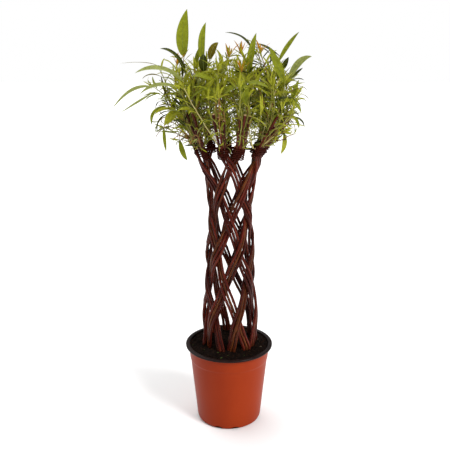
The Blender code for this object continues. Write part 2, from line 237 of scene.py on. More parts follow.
# Leaves that stand out of the crown, in millimetres: kind, how it faces, width, base,
# middle and tip
FEATURE_LEAVES = (
    ("mid", "front", 27, (-96, -30, 864), (-98, -35, 910), (-88, -30, 962)),
    ("mid", "front", 15, (-55, -50, 850), (-57, -55, 896), (-48, -50, 934)),
    ("mid", "front", 10, (-72, -40, 840), (-66, -45, 868), (-56, -40, 890)),
    ("deep", "half", 14, (-91, -50, 828), (-112, -65, 868), (-142, -80, 880)),
    ("olive", "edge", 7, (-155, 0, 846), (-190, 0, 853), (-236, -10, 851)),
    ("grey", "half", 16, (-95, -60, 812), (-142, -80, 841), (-194, -90, 831)),
    ("grey", "half", 10, (-163, -20, 800), (-207, -35, 796), (-252, -40, 756)),
    ("grey", "half", 7, (-170, 20, 788), (-205, 20, 767), (-243, 10, 744)),
    ("mid", "half", 9, (-136, 0, 760), (-166, -10, 746), (-171, -10, 717)),
    ("fresh", "front", 20, (-118, -30, 750), (-127, -50, 738), (-139, -60, 722)),
    ("mid", "front", 8, (-146, 0, 712), (-145, 0, 684), (-142, 0, 657)),
    ("mid", "front", 12, (-108, -35, 688), (-101, -50, 664), (-91, -50, 645)),
    ("fresh", "front", 11, (122, -10, 700), (124, -12, 676), (116, -10, 653)),
    ("mid", "front", 10, (141, 0, 772), (144, -10, 794), (153, -10, 817)),
    ("olive", "edge", 6, (147, 10, 784), (164, 10, 784), (178, 0, 774)),
    ("mid", "front", 10, (108, 20, 852), (130, 20, 890), (153, 10, 918)),
    ("grey", "front", 15, (126, -40, 814), (147, -50, 852), (173, -60, 865)),
    ("deep", "half", 8, (132, 0, 815), (148, 0, 830), (162, 0, 842)),
    ("deep", "half", 8, (52, 30, 880), (28, 30, 908), (-9, 20, 917)),
    ("deep", "half", 8, (60, 30, 894), (86, 20, 884), (116, 10, 863)),
    ("mid", "front", 15, (41, -50, 826), (46, -60, 872), (57, -50, 913)),
    ("mid", "front", 18, (117, -70, 812), (99, -90, 848), (82, -90, 884)),
    ("deep", "front", 12, (116, 20, 834), (124, 20, 850), (132, 20, 865)),
    ("olive", "front", 16, (-41, -50, 858), (-34, -60, 880), (-22, -60, 893)),
    ("deep", "front", 18, (-52, -70, 834), (-53, -90, 854), (-51, -90, 870)),
    ("mid", "half", 16, (-28, -90, 810), (-51, -110, 825), (-76, -120, 825)),
    ("mid", "front", 19, (34, -100, 812), (31, -120, 793), (36, -120, 766)),
    ("mid", "half", 15, (34, -100, 812), (12, -118, 806), (-10, -124, 790)),
    ("mid", "half", 14, (34, -100, 812), (56, -116, 812), (80, -120, 804)),
    ("fresh", "half", 10, (-118, -30, 750), (-140, -45, 756), (-160, -50, 744)),
    ("fresh", "front", 12, (-118, -30, 750), (-106, -50, 742), (-98, -58, 724)),
    ("grey", "half", 12, (-100, -70, 798), (-145, -85, 808), (-186, -90, 788)),
    ("mid", "half", 10, (-90, -80, 770), (-50, -105, 800), (-30, -110, 786)),
    ("mid", "half", 12, (124, -30, 766), (143, -40, 766), (155, -50, 748)),
    ("mid", "half", 9, (138, 0, 740), (151, 0, 727), (157, 0, 709)),
    ("fresh", "front", 13, (-56, -80, 778), (-46, -100, 800), (-28, -110, 822)),
)
# Clusters of young leaves at the ends of shoots, in millimetres
YOUNG_TIPS = (
    (-1, -45, 862), (26, -65, 832), (26, -30, 870),
    (66, -40, 870), (-110, -45, 845), (95, 50, 880),
)
# Long pale shoots that cross the front, in millimetres: start, middle and end
LONG_SHOOTS = (
    ((-16, -78, 672), (-58, -100, 740), (-92, -105, 802)),
    ((66, -56, 672), (98, -70, 705), (128, -60, 742)),
    ((52, -66, 674), (40, -98, 740), (52, -100, 812)),
    ((70, -50, 676), (82, -78, 750), (108, -80, 830)),
)
# Thin shoots that bend down outside the stems, in millimetres: start, middle and end
HANGING_SHOOTS = (
    ((-78, -30, 674), (-124, -20, 724), (-146, 0, 712)),
    ((-78, -20, 672), (-102, -34, 706), (-108, -35, 688)),
    ((-86, 0, 674), (-128, -20, 735), (-160, -20, 716)),
    ((-80, 10, 674), (-130, 10, 712), (-165, 0, 690)),
    ((-74, -40, 672), (-96, -70, 700), (-120, -75, 694)),
    ((-60, -60, 672), (-70, -90, 704), (-82, -98, 686)),
    ((86, -10, 676), (112, -16, 716), (122, -10, 700)),
    ((90, 20, 676), (128, 20, 730), (150, 10, 706)),
    ((40, 80, 676), (58, 115, 722), (66, 138, 700)),
    ((-40, 80, 676), (-60, 118, 718), (-64, 140, 690)),
)

# Leaf kinds: share of the crown's shoots, and blade colour. The darkest kind is partly the leaves' own
# dark green and partly painted shade, for leaves in shadow.
LEAF_KINDS = {
    "fresh": (0.31, (0.410, 0.420, 0.026)),
    "mid": (0.24, (0.245, 0.275, 0.015)),
    "deep": (0.25, (0.044, 0.052, 0.004)),
    "grey": (0.09, (0.310, 0.340, 0.095)),
    "olive": (0.11, (0.160, 0.125, 0.006)),
}
YOUNG_COLOUR = (0.60, 0.27, 0.020)
# Ribs and shoots: the dark and the light of their streaks
RIB_COLOURS = {
    "pale": ((0.30, 0.30, 0.09), (0.46, 0.44, 0.16)),
    "soft": ((0.16, 0.20, 0.05), (0.27, 0.31, 0.10)),
}
SHOOT_COLOURS = {
    "green": ((0.14, 0.15, 0.020), (0.36, 0.34, 0.070)),
    "tan": ((0.12, 0.050, 0.015), (0.34, 0.19, 0.060)),
    "pale": ((0.40, 0.33, 0.11), (0.62, 0.55, 0.24)),
}

# Studio
CAMERA_PLACE = (0.0, -1.40, 0.847)
CAMERA_DIP = 13.9
CAMERA_LENS = 49.68
CAMERA_SHIFT = (-0.0089, -0.0133)
FLOOR_SIZE = 60.0
SURROUND_LIGHT = 0.28
# Suns: where each shines from, its softness in degrees and its strength
SUNS = {
    "key": ((0.95, -0.85, 1.05), 22.0, 2.5),
    "overhead": ((-0.45, 0.55, 1.6), 70.0, 2.4),
}


# ---------------------------------------------------------------- numbers and directions


def smooth_value(knots, at):
    """The value at a height, on a smooth curve through (height, value) knots."""
    if at <= knots[0][0]:
        return knots[0][1]
    if at >= knots[-1][0]:
        return knots[-1][1]
    slopes = []
    for index in range(len(knots)):
        before = knots[max(index - 1, 0)]
        after = knots[min(index + 1, len(knots) - 1)]
        slopes.append((after[1] - before[1]) / (after[0] - before[0]))
    index = 0
    while at > knots[index + 1][0]:
        index += 1
    start, end = knots[index], knots[index + 1]
    width = end[0] - start[0]
    share = (at - start[0]) / width
    value = (2.0 * share ** 3 - 3.0 * share ** 2 + 1.0) * start[1]
    value += (share ** 3 - 2.0 * share ** 2 + share) * width * slopes[index]
    value += (3.0 * share ** 2 - 2.0 * share ** 3) * end[1]
    value += (share ** 3 - share ** 2) * width * slopes[index + 1]
    return value


def fade(at, start, end):
    """1 up to start, 0 from end, and smooth between."""
    share = min(max((at - start) / (end - start), 0.0), 1.0)
    return 1.0 - share * share * (3.0 - 2.0 * share)


def mix(start, end, share):
    """A straight blend of two values."""
    return start + (end - start) * share


def on_circle(azimuth, radius, height):
    """A point from an azimuth in degrees, a distance from the axis and a height."""
    angle = math.radians(azimuth)
    return Vector((radius * math.cos(angle), radius * math.sin(angle), height))


def on_column(azimuth, radius, height):
    """The same, from the woven column's axis."""
    return on_circle(azimuth, radius, height) + Vector((COLUMN_MIDDLE, 0.0, 0.0))


def in_metres(place):
    """A point from a table in millimetres."""
    return Vector([part / 1000.0 for part in place])


def through(start, middle, end, share):
    """A point on the parabola through three points."""
    control = middle * 2.0 - (start + end) / 2.0
    first = start.lerp(control, share)
    second = control.lerp(end, share)
    return first.lerp(second, share)


def spread_vector(dice, size):
    """A random direction of random length up to size."""
    while True:
        found = Vector([dice.uniform(-1.0, 1.0) for _ in range(3)])
        if found.length <= 1.0:
            return found * size


def around(frame, angle, size=1.0):
    """An offset square to a line, at an angle about it."""
    side, up = frame[1:]
    return side * (size * math.cos(angle)) + up * (size * math.sin(angle))


def drift_vector(place):
    """A smooth offset that depends on the place alone, so that every run draws the same."""
    shifts = (Vector((0.0, 0.0, 0.0)), Vector((31.7, 4.1, 9.3)), Vector((7.9, 67.3, 21.1)))
    return Vector([noise.noise(place + shift) for shift in shifts])


# ---------------------------------------------------------------- meshes


def ring_faces(rows, sides, start=0):
    """Faces between rings of points, where each ring follows the one below it."""
    faces = []
    for row in range(rows):
        low = start + row * sides
        for corner in range(sides):
            after = (corner + 1) % sides
            faces.append((low + corner, low + after, low + sides + after, low + sides + corner))
    return faces


class Gather:
    """The points and faces of one joined mesh."""

    def __init__(self):
        self.points = []
        self.faces = []
        self.slots = []
        self.places = []

    def add(self, points, faces, slot=0, places=None):
        """Adds a shape, whose faces count its own points from 0."""
        start = len(self.points)
        self.points.extend(points)
        self.places.extend(places if places else [(0.0, 0.0, 0.0)] * len(points))
        for face in faces:
            self.faces.append(tuple(start + corner for corner in face))
            self.slots.append(slot)

    def tube(self, centres, radii, sides, slot=0, caps=(True, True), shape=None):
        """A tube along a line of points. shape(angle, travel) scales its radius."""
        points = []
        places = []
        travel = 0.0
        frames = frames_along(centres)
        for index, centre in enumerate(centres):
            if index:
                travel += (centre - centres[index - 1]).length
            for corner in range(sides):
                angle = 2.0 * math.pi * corner / sides
                radius = radii[index]
                if shape:
                    radius *= shape(angle, travel)
                points.append(centre + around(frames[index], angle, radius))
                places.append((math.cos(angle) * radii[0], math.sin(angle) * radii[0], travel))
        faces = ring_faces(len(centres) - 1, sides)
        if caps[0]:
            faces.append(tuple(reversed(range(sides))))
        if caps[1]:
            last = len(points) - sides
            faces.append(tuple(range(last, last + sides)))
        self.add(points, faces, slot, places)

    def build(self, name, materials, slot_name, replaced=(), smooth_angle=50.0):
        """The finished piece, which rides on the plant's one body."""
        mesh = bpy.data.meshes.new(name)
        mesh.from_pydata([tuple(point) for point in self.points], [], self.faces)
        for material in materials:
            mesh.materials.append(material)
        mesh.polygons.foreach_set("material_index", self.slots)
        places = mesh.attributes.new("place", "FLOAT_VECTOR", "POINT")
        places.data.foreach_set("vector", [value for place in self.places for value in place])
        mesh.shade_smooth()
        if smooth_angle < 180.0:
            mesh.set_sharp_from_angle(angle=math.radians(smooth_angle))
        piece = bpy.data.objects.new(name, mesh)
        bpy.context.scene.collection.objects.link(piece)
        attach(piece, "root")
        if replaced:
            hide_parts(*replaced)
        return piece


def frames_along(points):
    """A tangent and two square directions at each point, carried along without twist."""
    frames = []
    side = None
    for index in range(len(points)):
        before = points[max(index - 1, 0)]
        after = points[min(index + 1, len(points) - 1)]
        tangent = (after - before).normalized()
        if side is None:
            side = tangent.orthogonal()
        side = (side - tangent * side.dot(tangent)).normalized()
        frames.append((tangent, side, tangent.cross(side)))
    return frames


def turned(profile, segments, closed):
    """Points and faces of a profile turned round the axis. An open one starts and ends on it."""
    points = []
    rings = []
    for radius, height in profile:
        if radius < 1e-6:
            rings.append([len(points)])
            points.append(Vector((0.0, 0.0, height)))
            continue
        rings.append(list(range(len(points), len(points) + segments)))
        for step in range(segments):
            points.append(on_circle(360.0 * step / segments, radius, height))
    faces = []
    spans = len(rings) if closed else len(rings) - 1
    for row in range(spans):
        low, high = rings[row], rings[(row + 1) % len(rings)]
        for step in range(segments):
            after = (step + 1) % segments
            if len(low) == 1:
                faces.append((low[0], high[after], high[step]))
            elif len(high) == 1:
                faces.append((low[step], low[after], high[0]))
            else:
                faces.append((low[step], low[after], high[after], high[step]))
    return points, faces


def arc(centre, radius, start, end, steps):
    """Points of a rounded corner in a profile, from one angle to another in degrees."""
    found = []
    for step in range(steps + 1):
        angle = math.radians(mix(start, end, step / steps))
        found.append((centre[0] + radius * math.cos(angle), centre[1] + radius * math.sin(angle)))
    return found


# ---------------------------------------------------------------- materials


class Look:
    """A node material under construction."""

    def __init__(self, name, colour, roughness, specular=0.15):
        self.material = bpy.data.materials.new(name)
        self.material.use_nodes = True
        self.tree = self.material.node_tree
        self.shader = self.tree.nodes["Principled BSDF"]
        self.shader.inputs["Base Color"].default_value = (*colour, 1.0)
        self.shader.inputs["Roughness"].default_value = roughness
        self.shader.inputs["Specular IOR Level"].default_value = specular

    def node(self, kind, **values):
        """A new node, with its settings."""
        made = self.tree.nodes.new(kind)
        for key, value in values.items():
            setattr(made, key, value)
        return made

    def link(self, output, target):
        """Joins two sockets."""
        self.tree.links.new(output, target)

    def coordinates(self, scale=(1.0, 1.0, 1.0), attribute=None):
        """Stretched coordinates, from the object or from an attribute of its points."""
        if attribute:
            source = self.node("ShaderNodeAttribute", attribute_name=attribute).outputs["Vector"]
        else:
            source = self.node("ShaderNodeTexCoord").outputs["Object"]
        mapping = self.node("ShaderNodeMapping")
        mapping.inputs["Scale"].default_value = scale
        self.link(source, mapping.inputs["Vector"])
        return mapping.outputs["Vector"]

    def noise(self, where, scale, detail=4.0, roughness=0.55):
        """A noise value."""
        made = self.node("ShaderNodeTexNoise")
        made.inputs["Scale"].default_value = scale
        made.inputs["Detail"].default_value = detail
        made.inputs["Roughness"].default_value = roughness
        self.link(where, made.inputs["Vector"])
        return made.outputs["Fac"]

    def ramp(self, value, stops):
        """A colour for each share of a value, from (share, colour) stops."""
        made = self.node("ShaderNodeValToRGB")
        elements = made.color_ramp.elements
        while len(elements) < len(stops):
            elements.new(0.5)
        for element, (share, colour) in zip(elements, stops):
            element.position = share
            element.color = (*colour, 1.0)
        self.link(value, made.inputs["Fac"])
        return made.outputs["Color"]

    def blend(self, share, first, second):
        """A mix of two colours, each a plain one or a socket."""
        made = self.node("ShaderNodeMix", data_type="RGBA")
        if isinstance(share, float):
            made.inputs["Factor"].default_value = share
        else:
            self.link(share, made.inputs["Factor"])
        for name, colour in (("A", first), ("B", second)):
            socket = next(s for s in made.inputs if s.name == name and s.type == "RGBA")
            if isinstance(colour, tuple):
                socket.default_value = (*colour, 1.0)
            else:
                self.link(colour, socket)
        return next(s for s in made.outputs if s.type == "RGBA")

    def span(self, value, low, high, new_low, new_high):
        """A value moved from one range to another and held inside it."""
        made = self.node("ShaderNodeMapRange")
        made.inputs["From Min"].default_value = low
        made.inputs["From Max"].default_value = high
        made.inputs["To Min"].default_value = new_low
        made.inputs["To Max"].default_value = new_high
        self.link(value, made.inputs["Value"])
        return made.outputs["Result"]

    def bump(self, height, strength, distance):
        """Relief from a height value, on top of what is there."""
        made = self.node("ShaderNodeBump")
        made.inputs["Strength"].default_value = strength
        made.inputs["Distance"].default_value = distance
        self.link(height, made.inputs["Height"])
        target = self.shader.inputs["Normal"]
        if target.is_linked:
            self.link(target.links[0].from_socket, made.inputs["Normal"])
        self.link(made.outputs["Normal"], target)
        return made.outputs["Normal"]

    def colour(self, socket):
        """Uses a socket as the base colour."""
        self.link(socket, self.shader.inputs["Base Color"])

    def roughness(self, socket):
        """Uses a socket as the roughness."""
        self.link(socket, self.shader.inputs["Roughness"])


def bark_look(name, dark, light, warm_and_highlight):
    """Smooth willow bark: streaks along the rod, dark in the grooves as painted shade and warm on the
    ridges as partly painted highlight, lenticels and a waxy sheen.
    """
    look = Look(name, light, 0.38, 0.11)
    streaks = look.noise(look.coordinates((1.0, 1.0, 0.035), "place"), 900.0, 5.0, 0.6)
    patches = look.noise(look.coordinates((1.0, 1.0, 0.4), "place"), 55.0, 3.0)
    # Low streaks, the grooves of the bump below, take the dark colour as painted shade. High ones, the
    # ridges, take the warm colour, partly the bark's own tone and partly painted highlight. The
    # patches that darken it further are the bark's own tone.
    colour = look.ramp(streaks, ((0.36, dark), (0.52, light), (0.66, warm_and_highlight)))
    shaded = look.blend(look.span(patches, 0.38, 0.66, 0.0, 0.75), colour, dark)
    dots = look.noise(look.coordinates((1.0, 1.0, 0.45), "place"), 620.0, 2.0, 0.4)
    marks = look.span(dots, 0.66, 0.72, 0.0, 0.8)
    look.colour(look.blend(marks, shaded, (0.16, 0.075, 0.030)))
    look.roughness(look.span(streaks, 0.3, 0.7, 0.26, 0.42))
    look.bump(streaks, 0.45, 0.0006)
    look.bump(dots, 0.30, 0.0005)
    return look.material


def wood_look():
    """The pale cut face of a rod."""
    look = Look("cut_wood", (0.45, 0.30, 0.16), 0.75)
    grain = look.noise(look.coordinates(), 1400.0)
    look.colour(look.ramp(grain, ((0.35, (0.26, 0.15, 0.07)), (0.65, (0.52, 0.38, 0.20)))))
    look.bump(grain, 0.3, 0.0004)
    return look.material


def twine_look():
    """Dark tarred twine."""
    look = Look("dark_twine", (0.016, 0.004, 0.003), 0.72, 0.06)
    fibres = look.noise(look.coordinates(), 1500.0, 5.0, 0.7)
    look.colour(look.ramp(fibres, ((0.35, (0.010, 0.0014, 0.0008)), (0.7, (0.090, 0.013, 0.006)))))
    look.bump(fibres, 0.6, 0.0006)
    return look.material


def terracotta_look():
    """Satin terracotta-coloured plastic, with faint flow marks and scuffs."""
    look = Look("terracotta_plastic", (0.27, 0.026, 0.003), 0.36, 0.09)
    cloud = look.noise(look.coordinates((1.0, 1.0, 0.45)), 9.0, 3.0, 0.5)
    fine = look.noise(look.coordinates(), 260.0, 3.0, 0.6)
    base = look.ramp(cloud, ((0.30, (0.245, 0.0215, 0.0020)), (0.70, (0.320, 0.034, 0.0040))))
    look.colour(look.blend(look.span(fine, 0.60, 0.78, 0.0, 0.22), base, (0.36, 0.060, 0.015)))
    look.roughness(look.span(cloud, 0.3, 0.7, 0.33, 0.45))
    rings = look.node("ShaderNodeTexWave", wave_type="BANDS", bands_direction="Z")
    rings.inputs["Scale"].default_value = 90.0
    rings.inputs["Distortion"].default_value = 0.6
    look.link(look.coordinates(), rings.inputs["Vector"])
    look.bump(rings.outputs["Fac"], 0.05, 0.0003)
    look.bump(fine, 0.06, 0.0004)
    return look.material


def black_plastic_look():
    """The pot's black inside and lip."""
    look = Look("black_plastic", (0.006, 0.003, 0.003), 0.34, 0.12)
    fine = look.noise(look.coordinates(), 300.0, 4.0, 0.6)
    look.colour(look.ramp(fine, ((0.4, (0.006, 0.0022, 0.0018)), (0.75, (0.020, 0.0080, 0.0060)))))
    look.roughness(look.span(fine, 0.35, 0.7, 0.26, 0.45))
    look.bump(fine, 0.10, 0.0005)
    return look.material


def soil_look(name, dark, light):
    """Crumbly potting mix."""
    look = Look(name, dark, 0.92, 0.05)
    crumbs = look.noise(look.coordinates(), 420.0, 6.0, 0.7)
    look.colour(look.ramp(crumbs, ((0.38, dark), (0.72, light))))
    look.bump(crumbs, 0.8, 0.002)
    return look.material


def leaf_look(name, colour):
    """A leaf blade: side veins, small mottling and light that shines through."""
    look = Look(name, colour, 0.45, 0.15)
    place = look.coordinates(attribute="place")
    mottle = look.noise(place, 160.0, 3.0)
    darker = tuple(part * 0.72 for part in colour)
    lighter = tuple(min(part * 1.22, 1.0) for part in colour)
    base = look.ramp(mottle, ((0.30, darker), (0.55, colour), (0.78, lighter)))
    look.colour(base)
    veins = look.node("ShaderNodeTexWave", wave_type="BANDS", bands_direction="Y")
    veins.inputs["Scale"].default_value = 110.0
    veins.inputs["Distortion"].default_value = 1.5
    look.link(place, veins.inputs["Vector"])
    look.bump(veins.outputs["Fac"], 0.12, 0.0004)
    normal = look.bump(mottle, 0.12, 0.0008)
    look.roughness(look.span(mottle, 0.3, 0.7, 0.36, 0.52))
    glow = look.node("ShaderNodeBsdfTranslucent")
    look.link(base, glow.inputs["Color"])
    look.link(normal, glow.inputs["Normal"])
    both = look.node("ShaderNodeMixShader")
    both.inputs["Fac"].default_value = 0.35
    output = look.tree.nodes["Material Output"]
    look.link(look.shader.outputs["BSDF"], both.inputs[1])
    look.link(glow.outputs["BSDF"], both.inputs[2])
    look.link(both.outputs["Shader"], output.inputs["Surface"])
    return look.material


def stalk_look(name, dark, light):
    """Young shoots and ribs."""
    look = Look(name, light, 0.45)
    streaks = look.noise(look.coordinates((1.0, 1.0, 0.1), "place"), 700.0, 3.0)
    look.colour(look.ramp(streaks, ((0.35, dark), (0.65, light))))
    look.bump(streaks, 0.2, 0.0003)
    return look.material


# ---------------------------------------------------------------- pot and potting mix


def body_radius(height):
    """The outside of the pot's tapered body."""
    return mix(POT_BASE_RADIUS, POT_TOP_RADIUS, height / POT_HEIGHT)


def inner_radius(height):
    """The inside of the pot's wall."""
    return body_radius(height) - POT_WALL


def cut_drains(pot):
    """Cuts the arched drain slots round the pot's foot, and gives their cut walls the black plastic as
    painted shade.
    """
    shape = bmesh.new()
    for azimuth in DRAIN_AZIMUTHS:
        turn = math.radians(azimuth)
        made = bmesh.ops.create_cone(
            shape, cap_ends=True, segments=24, radius1=DRAIN_WIDTH / 2.0,
            radius2=DRAIN_WIDTH / 2.0, depth=2.0 * DRAIN_DEPTH)
        lie = Matrix.Rotation(math.radians(90.0), 4, "Y")
        flatten = Matrix.Diagonal((1.0, 1.0, DRAIN_HEIGHT / DRAIN_WIDTH, 1.0))
        move = Matrix.Rotation(turn, 4, "Z") @ Matrix.Translation((POT_BASE_RADIUS, 0.0, DRAIN_MIDDLE))
        bmesh.ops.transform(shape, matrix=move @ flatten @ lie, verts=made["verts"])
    # The slots' cut walls take the black plastic: painted shade, so that the slots read dark.
    for face in shape.faces:
        face.material_index = 1
    cutter_mesh = bpy.data.meshes.new("drain_cutter")
    shape.to_mesh(cutter_mesh)
    shape.free()
    for material in pot.data.materials:
        cutter_mesh.materials.append(material)
    cutter = bpy.data.objects.new("drain_cutter", cutter_mesh)
    bpy.context.scene.collection.objects.link(cutter)
    cut = pot.modifiers.new("drains", "BOOLEAN")
    cut.operation = "DIFFERENCE"
    cut.solver = "EXACT"
    cut.object = cutter
    bpy.context.view_layer.update()
    evaluated = pot.evaluated_get(bpy.context.evaluated_depsgraph_get())
    cut_mesh = bpy.data.meshes.new_from_object(evaluated)
    pot.modifiers.clear()
    pot.data = cut_mesh
    bpy.data.objects.remove(cutter)


def make_pot():
    """The body with its step and foot, and the black lip and lining."""
    lip_foot = POT_HEIGHT - LIP_HEIGHT
    ring = POT_BASE_RADIUS - FOOT_RING
    profile = [(0.0, BASE_RECESS), (ring - 4.0 * FOOT_BEVEL, BASE_RECESS)]
    profile += [(ring - FOOT_BEVEL, 0.0004), (ring, 0.0)]
    profile += arc((POT_BASE_RADIUS - FOOT_ROUND + 0.0004, FOOT_ROUND), FOOT_ROUND, 270.0, 356.0, 8)
    for step in range(1, 24):
        height = mix(FOOT_ROUND, STEP_HEIGHT, step / 24.0)
        profile.append((body_radius(height), height))
    profile.append((body_radius(STEP_HEIGHT), STEP_HEIGHT))
    for share in (0.15, 0.3, 0.5, 0.7, 0.85, 1.0):
        grow = STEP_OUT * (3.0 * share ** 2 - 2.0 * share ** 3)
        height = STEP_HEIGHT + share * STEP_RISE
        profile.append((body_radius(height) + grow, height))
    profile.append((body_radius(lip_foot) + STEP_OUT, lip_foot + 0.001))
    profile.append((inner_radius(lip_foot), lip_foot + 0.001))
    inside = inner_radius(FOOT_ROUND)
    profile.append((inside, FOOT_ROUND + 0.001))
    profile += [(inside - FOOT_ROUND, POT_FLOOR), (0.0, POT_FLOOR)]
    body = Gather()
    body.add(*turned(profile, POT_SEGMENTS, closed=False))
    black = black_plastic_look()
    pot = body.build("pot_body", [terracotta_look(), black], "pot", ["pot"])
    cut_drains(pot)

    low = POT_HEIGHT - LINING_DEPTH
    outer = LIP_RADIUS - LIP_ROUND
    profile = [(inner_radius(low) + LINING_THICK, low)]
    profile.append((body_radius(lip_foot) - 0.0004, lip_foot))
    profile += arc((outer + 0.0008, lip_foot + 0.0012), 0.0012, 270.0, 360.0, 5)
    profile += arc((outer, POT_HEIGHT - LIP_ROUND), LIP_ROUND, 0.0, 90.0, 7)
    inside = inner_radius(POT_HEIGHT) - LINING_THICK
    profile += arc((inside + LIP_ROUND, POT_HEIGHT - LIP_ROUND), LIP_ROUND, 90.0, 180.0, 6)
    profile.append((inner_radius(low) - LINING_THICK, low))
    lip = Gather()
    lip.add(*turned(profile, POT_SEGMENTS, closed=True))
    lip.build("pot_lip", [black], "pot")


def soil_height(point_x, point_y):
    """The uneven top of the potting mix: mounded in the middle, lower at the wall."""
    distance = math.hypot(point_x, point_y)
    edge = inner_radius(SOIL_EDGE)
    share = min(distance / edge, 1.0)
    height = mix(SOIL_TOP, SOIL_EDGE, share ** 3.2)
    place = Vector((point_x, point_y, 0.0))
    height += 0.0022 * noise.noise(place * 38.0)
    height += 0.0014 * noise.noise(place * 120.0)
    height += 0.0010 * noise.noise(place * 330.0)
    return height - 0.0012


def on_soil(azimuth, radius, rise):
    """A point over the top of the potting mix."""
    flat = on_circle(azimuth, radius, 0.0)
    return Vector((flat.x, flat.y, soil_height(flat.x, flat.y) + rise))


def add_chip(gather, dice, centre, length, width, thickness, slot=0):
    """An uneven, faceted crumb or splinter."""
    turn = Matrix.Rotation(dice.uniform(0.0, 2.0 * math.pi), 3, "Z")
    tip = Matrix.Rotation(dice.uniform(-0.6, 0.6), 3, "X")
    roll = Matrix.Rotation(dice.uniform(-0.6, 0.6), 3, "Y")
    points = []
    for along in (-1.0, -0.35, 0.4, 1.0):
        taper = 0.45 + 0.55 * (1.0 - along * along)
        for corner in range(5):
            angle = 2.0 * math.pi * (corner + dice.uniform(-0.2, 0.2)) / 5.0
            point = Vector((
                along * length / 2.0,
                math.cos(angle) * width * taper * dice.uniform(0.35, 0.55),
                math.sin(angle) * thickness * taper * dice.uniform(0.35, 0.55)))
            points.append(centre + turn @ (tip @ (roll @ point)))
    gather.add(points, [(4, 3, 2, 1, 0), (15, 16, 17, 18, 19)] + ring_faces(3, 5), slot)


def make_soil():
    """The potting mix: an uneven top, crumbs, fibres and a few pale and green bits."""
    edge = inner_radius(SOIL_EDGE) - 0.0006
    points = [Vector((0.0, 0.0, soil_height(0.0, 0.0)))]
    for ring in range(1, SOIL_RINGS + 1):
        for spoke in range(SOIL_SPOKES):
            points.append(on_soil(360.0 * spoke / SOIL_SPOKES, edge * ring / SOIL_RINGS, 0.0))
    for spoke in range(SOIL_SPOKES):
        points.append(on_circle(360.0 * spoke / SOIL_SPOKES, edge - 0.002, SOIL_EDGE - 0.016))
    faces = []
    for spoke in range(SOIL_SPOKES):
        after = (spoke + 1) % SOIL_SPOKES
        faces.append((0, 1 + spoke, 1 + after))
        for ring in range(SOIL_RINGS):
            low = 1 + ring * SOIL_SPOKES
            high = low + SOIL_SPOKES
            faces.append((low + spoke, high + spoke, high + after, low + after))
    top = Gather()
    top.add(points, faces)
    dark = soil_look("dark_peat", (0.0025, 0.0014, 0.0012), (0.014, 0.0075, 0.0050))
    top.build("soil_top", [dark], "potting_mix", ["potting_mix"], 180.0)

    dice = random.Random(11)
    crumbs = Gather()
    for _ in range(SOIL_CHIPS):
        azimuth = dice.uniform(0.0, 360.0)
        radius = edge * math.sqrt(dice.random()) * 0.985
        size = dice.uniform(0.0012, 0.0042)
        centre = on_soil(azimuth, radius, size * 0.12)
        add_chip(crumbs, dice, centre, size * 1.5, size, size * 0.8, dice.choice((0, 0, 1)))
    brown = soil_look("brown_bark_chips", (0.006, 0.0030, 0.0020), (0.034, 0.014, 0.007))
    crumbs.build("soil_crumbs", [dark, brown], "potting_mix", smooth_angle=25.0)

    fibres = Gather()
    for _ in range(SOIL_FIBRES):
        azimuth = dice.uniform(0.0, 360.0)
        centre = on_soil(azimuth, edge * math.sqrt(dice.random()) * 0.93, 0.0008)
        length = dice.uniform(0.005, 0.014)
        add_chip(fibres, dice, centre, length, 0.0012, 0.0008)
    fibre = soil_look("soil_fibres", (0.018, 0.008, 0.004), (0.075, 0.036, 0.018))
    fibres.build("soil_fibres", [fibre], "potting_mix", smooth_angle=25.0)

    bits = Gather()
    for number in range(SOIL_BITS):
        azimuth = dice.uniform(0.0, 360.0)
        centre = on_soil(azimuth, edge * dice.uniform(0.72, 0.95), 0.0011)
        size = dice.uniform(0.0016, 0.0036)
        add_chip(bits, dice, centre, size * 1.6, size, size * 0.4, number % 2)
    pale = soil_look("pale_bits", (0.06, 0.045, 0.03), (0.20, 0.16, 0.11))
    green = soil_look("moss_bits", (0.030, 0.050, 0.012), (0.110, 0.150, 0.040))
    bits.build("soil_bits", [pale, green], "potting_mix", smooth_angle=25.0)


# ---------------------------------------------------------------- woven stems


def place_among(starts, azimuth):
    """An azimuth as a number that is whole at each stem of the other way, in order."""
    turns = math.floor((azimuth - starts[0]) / 360.0)
    azimuth -= 360.0 * turns
    marks = [start + STEM_SPACING * number for number, start in enumerate(starts)]
    marks.append(marks[0] + 360.0)
    number = 0
    while azimuth > marks[number + 1]:
        number += 1
    share = (azimuth - marks[number]) / (marks[number + 1] - marks[number])
    return number + share + STEMS_EACH_WAY * turns


def rod_diameter(height):
    """A rod's thickness, which tapers from the foot up."""
    share = (height - STEM_FOOT) / (STEM_END - STEM_FOOT)
    return mix(ROD_DIAMETER_FOOT, ROD_DIAMETER_END, share)


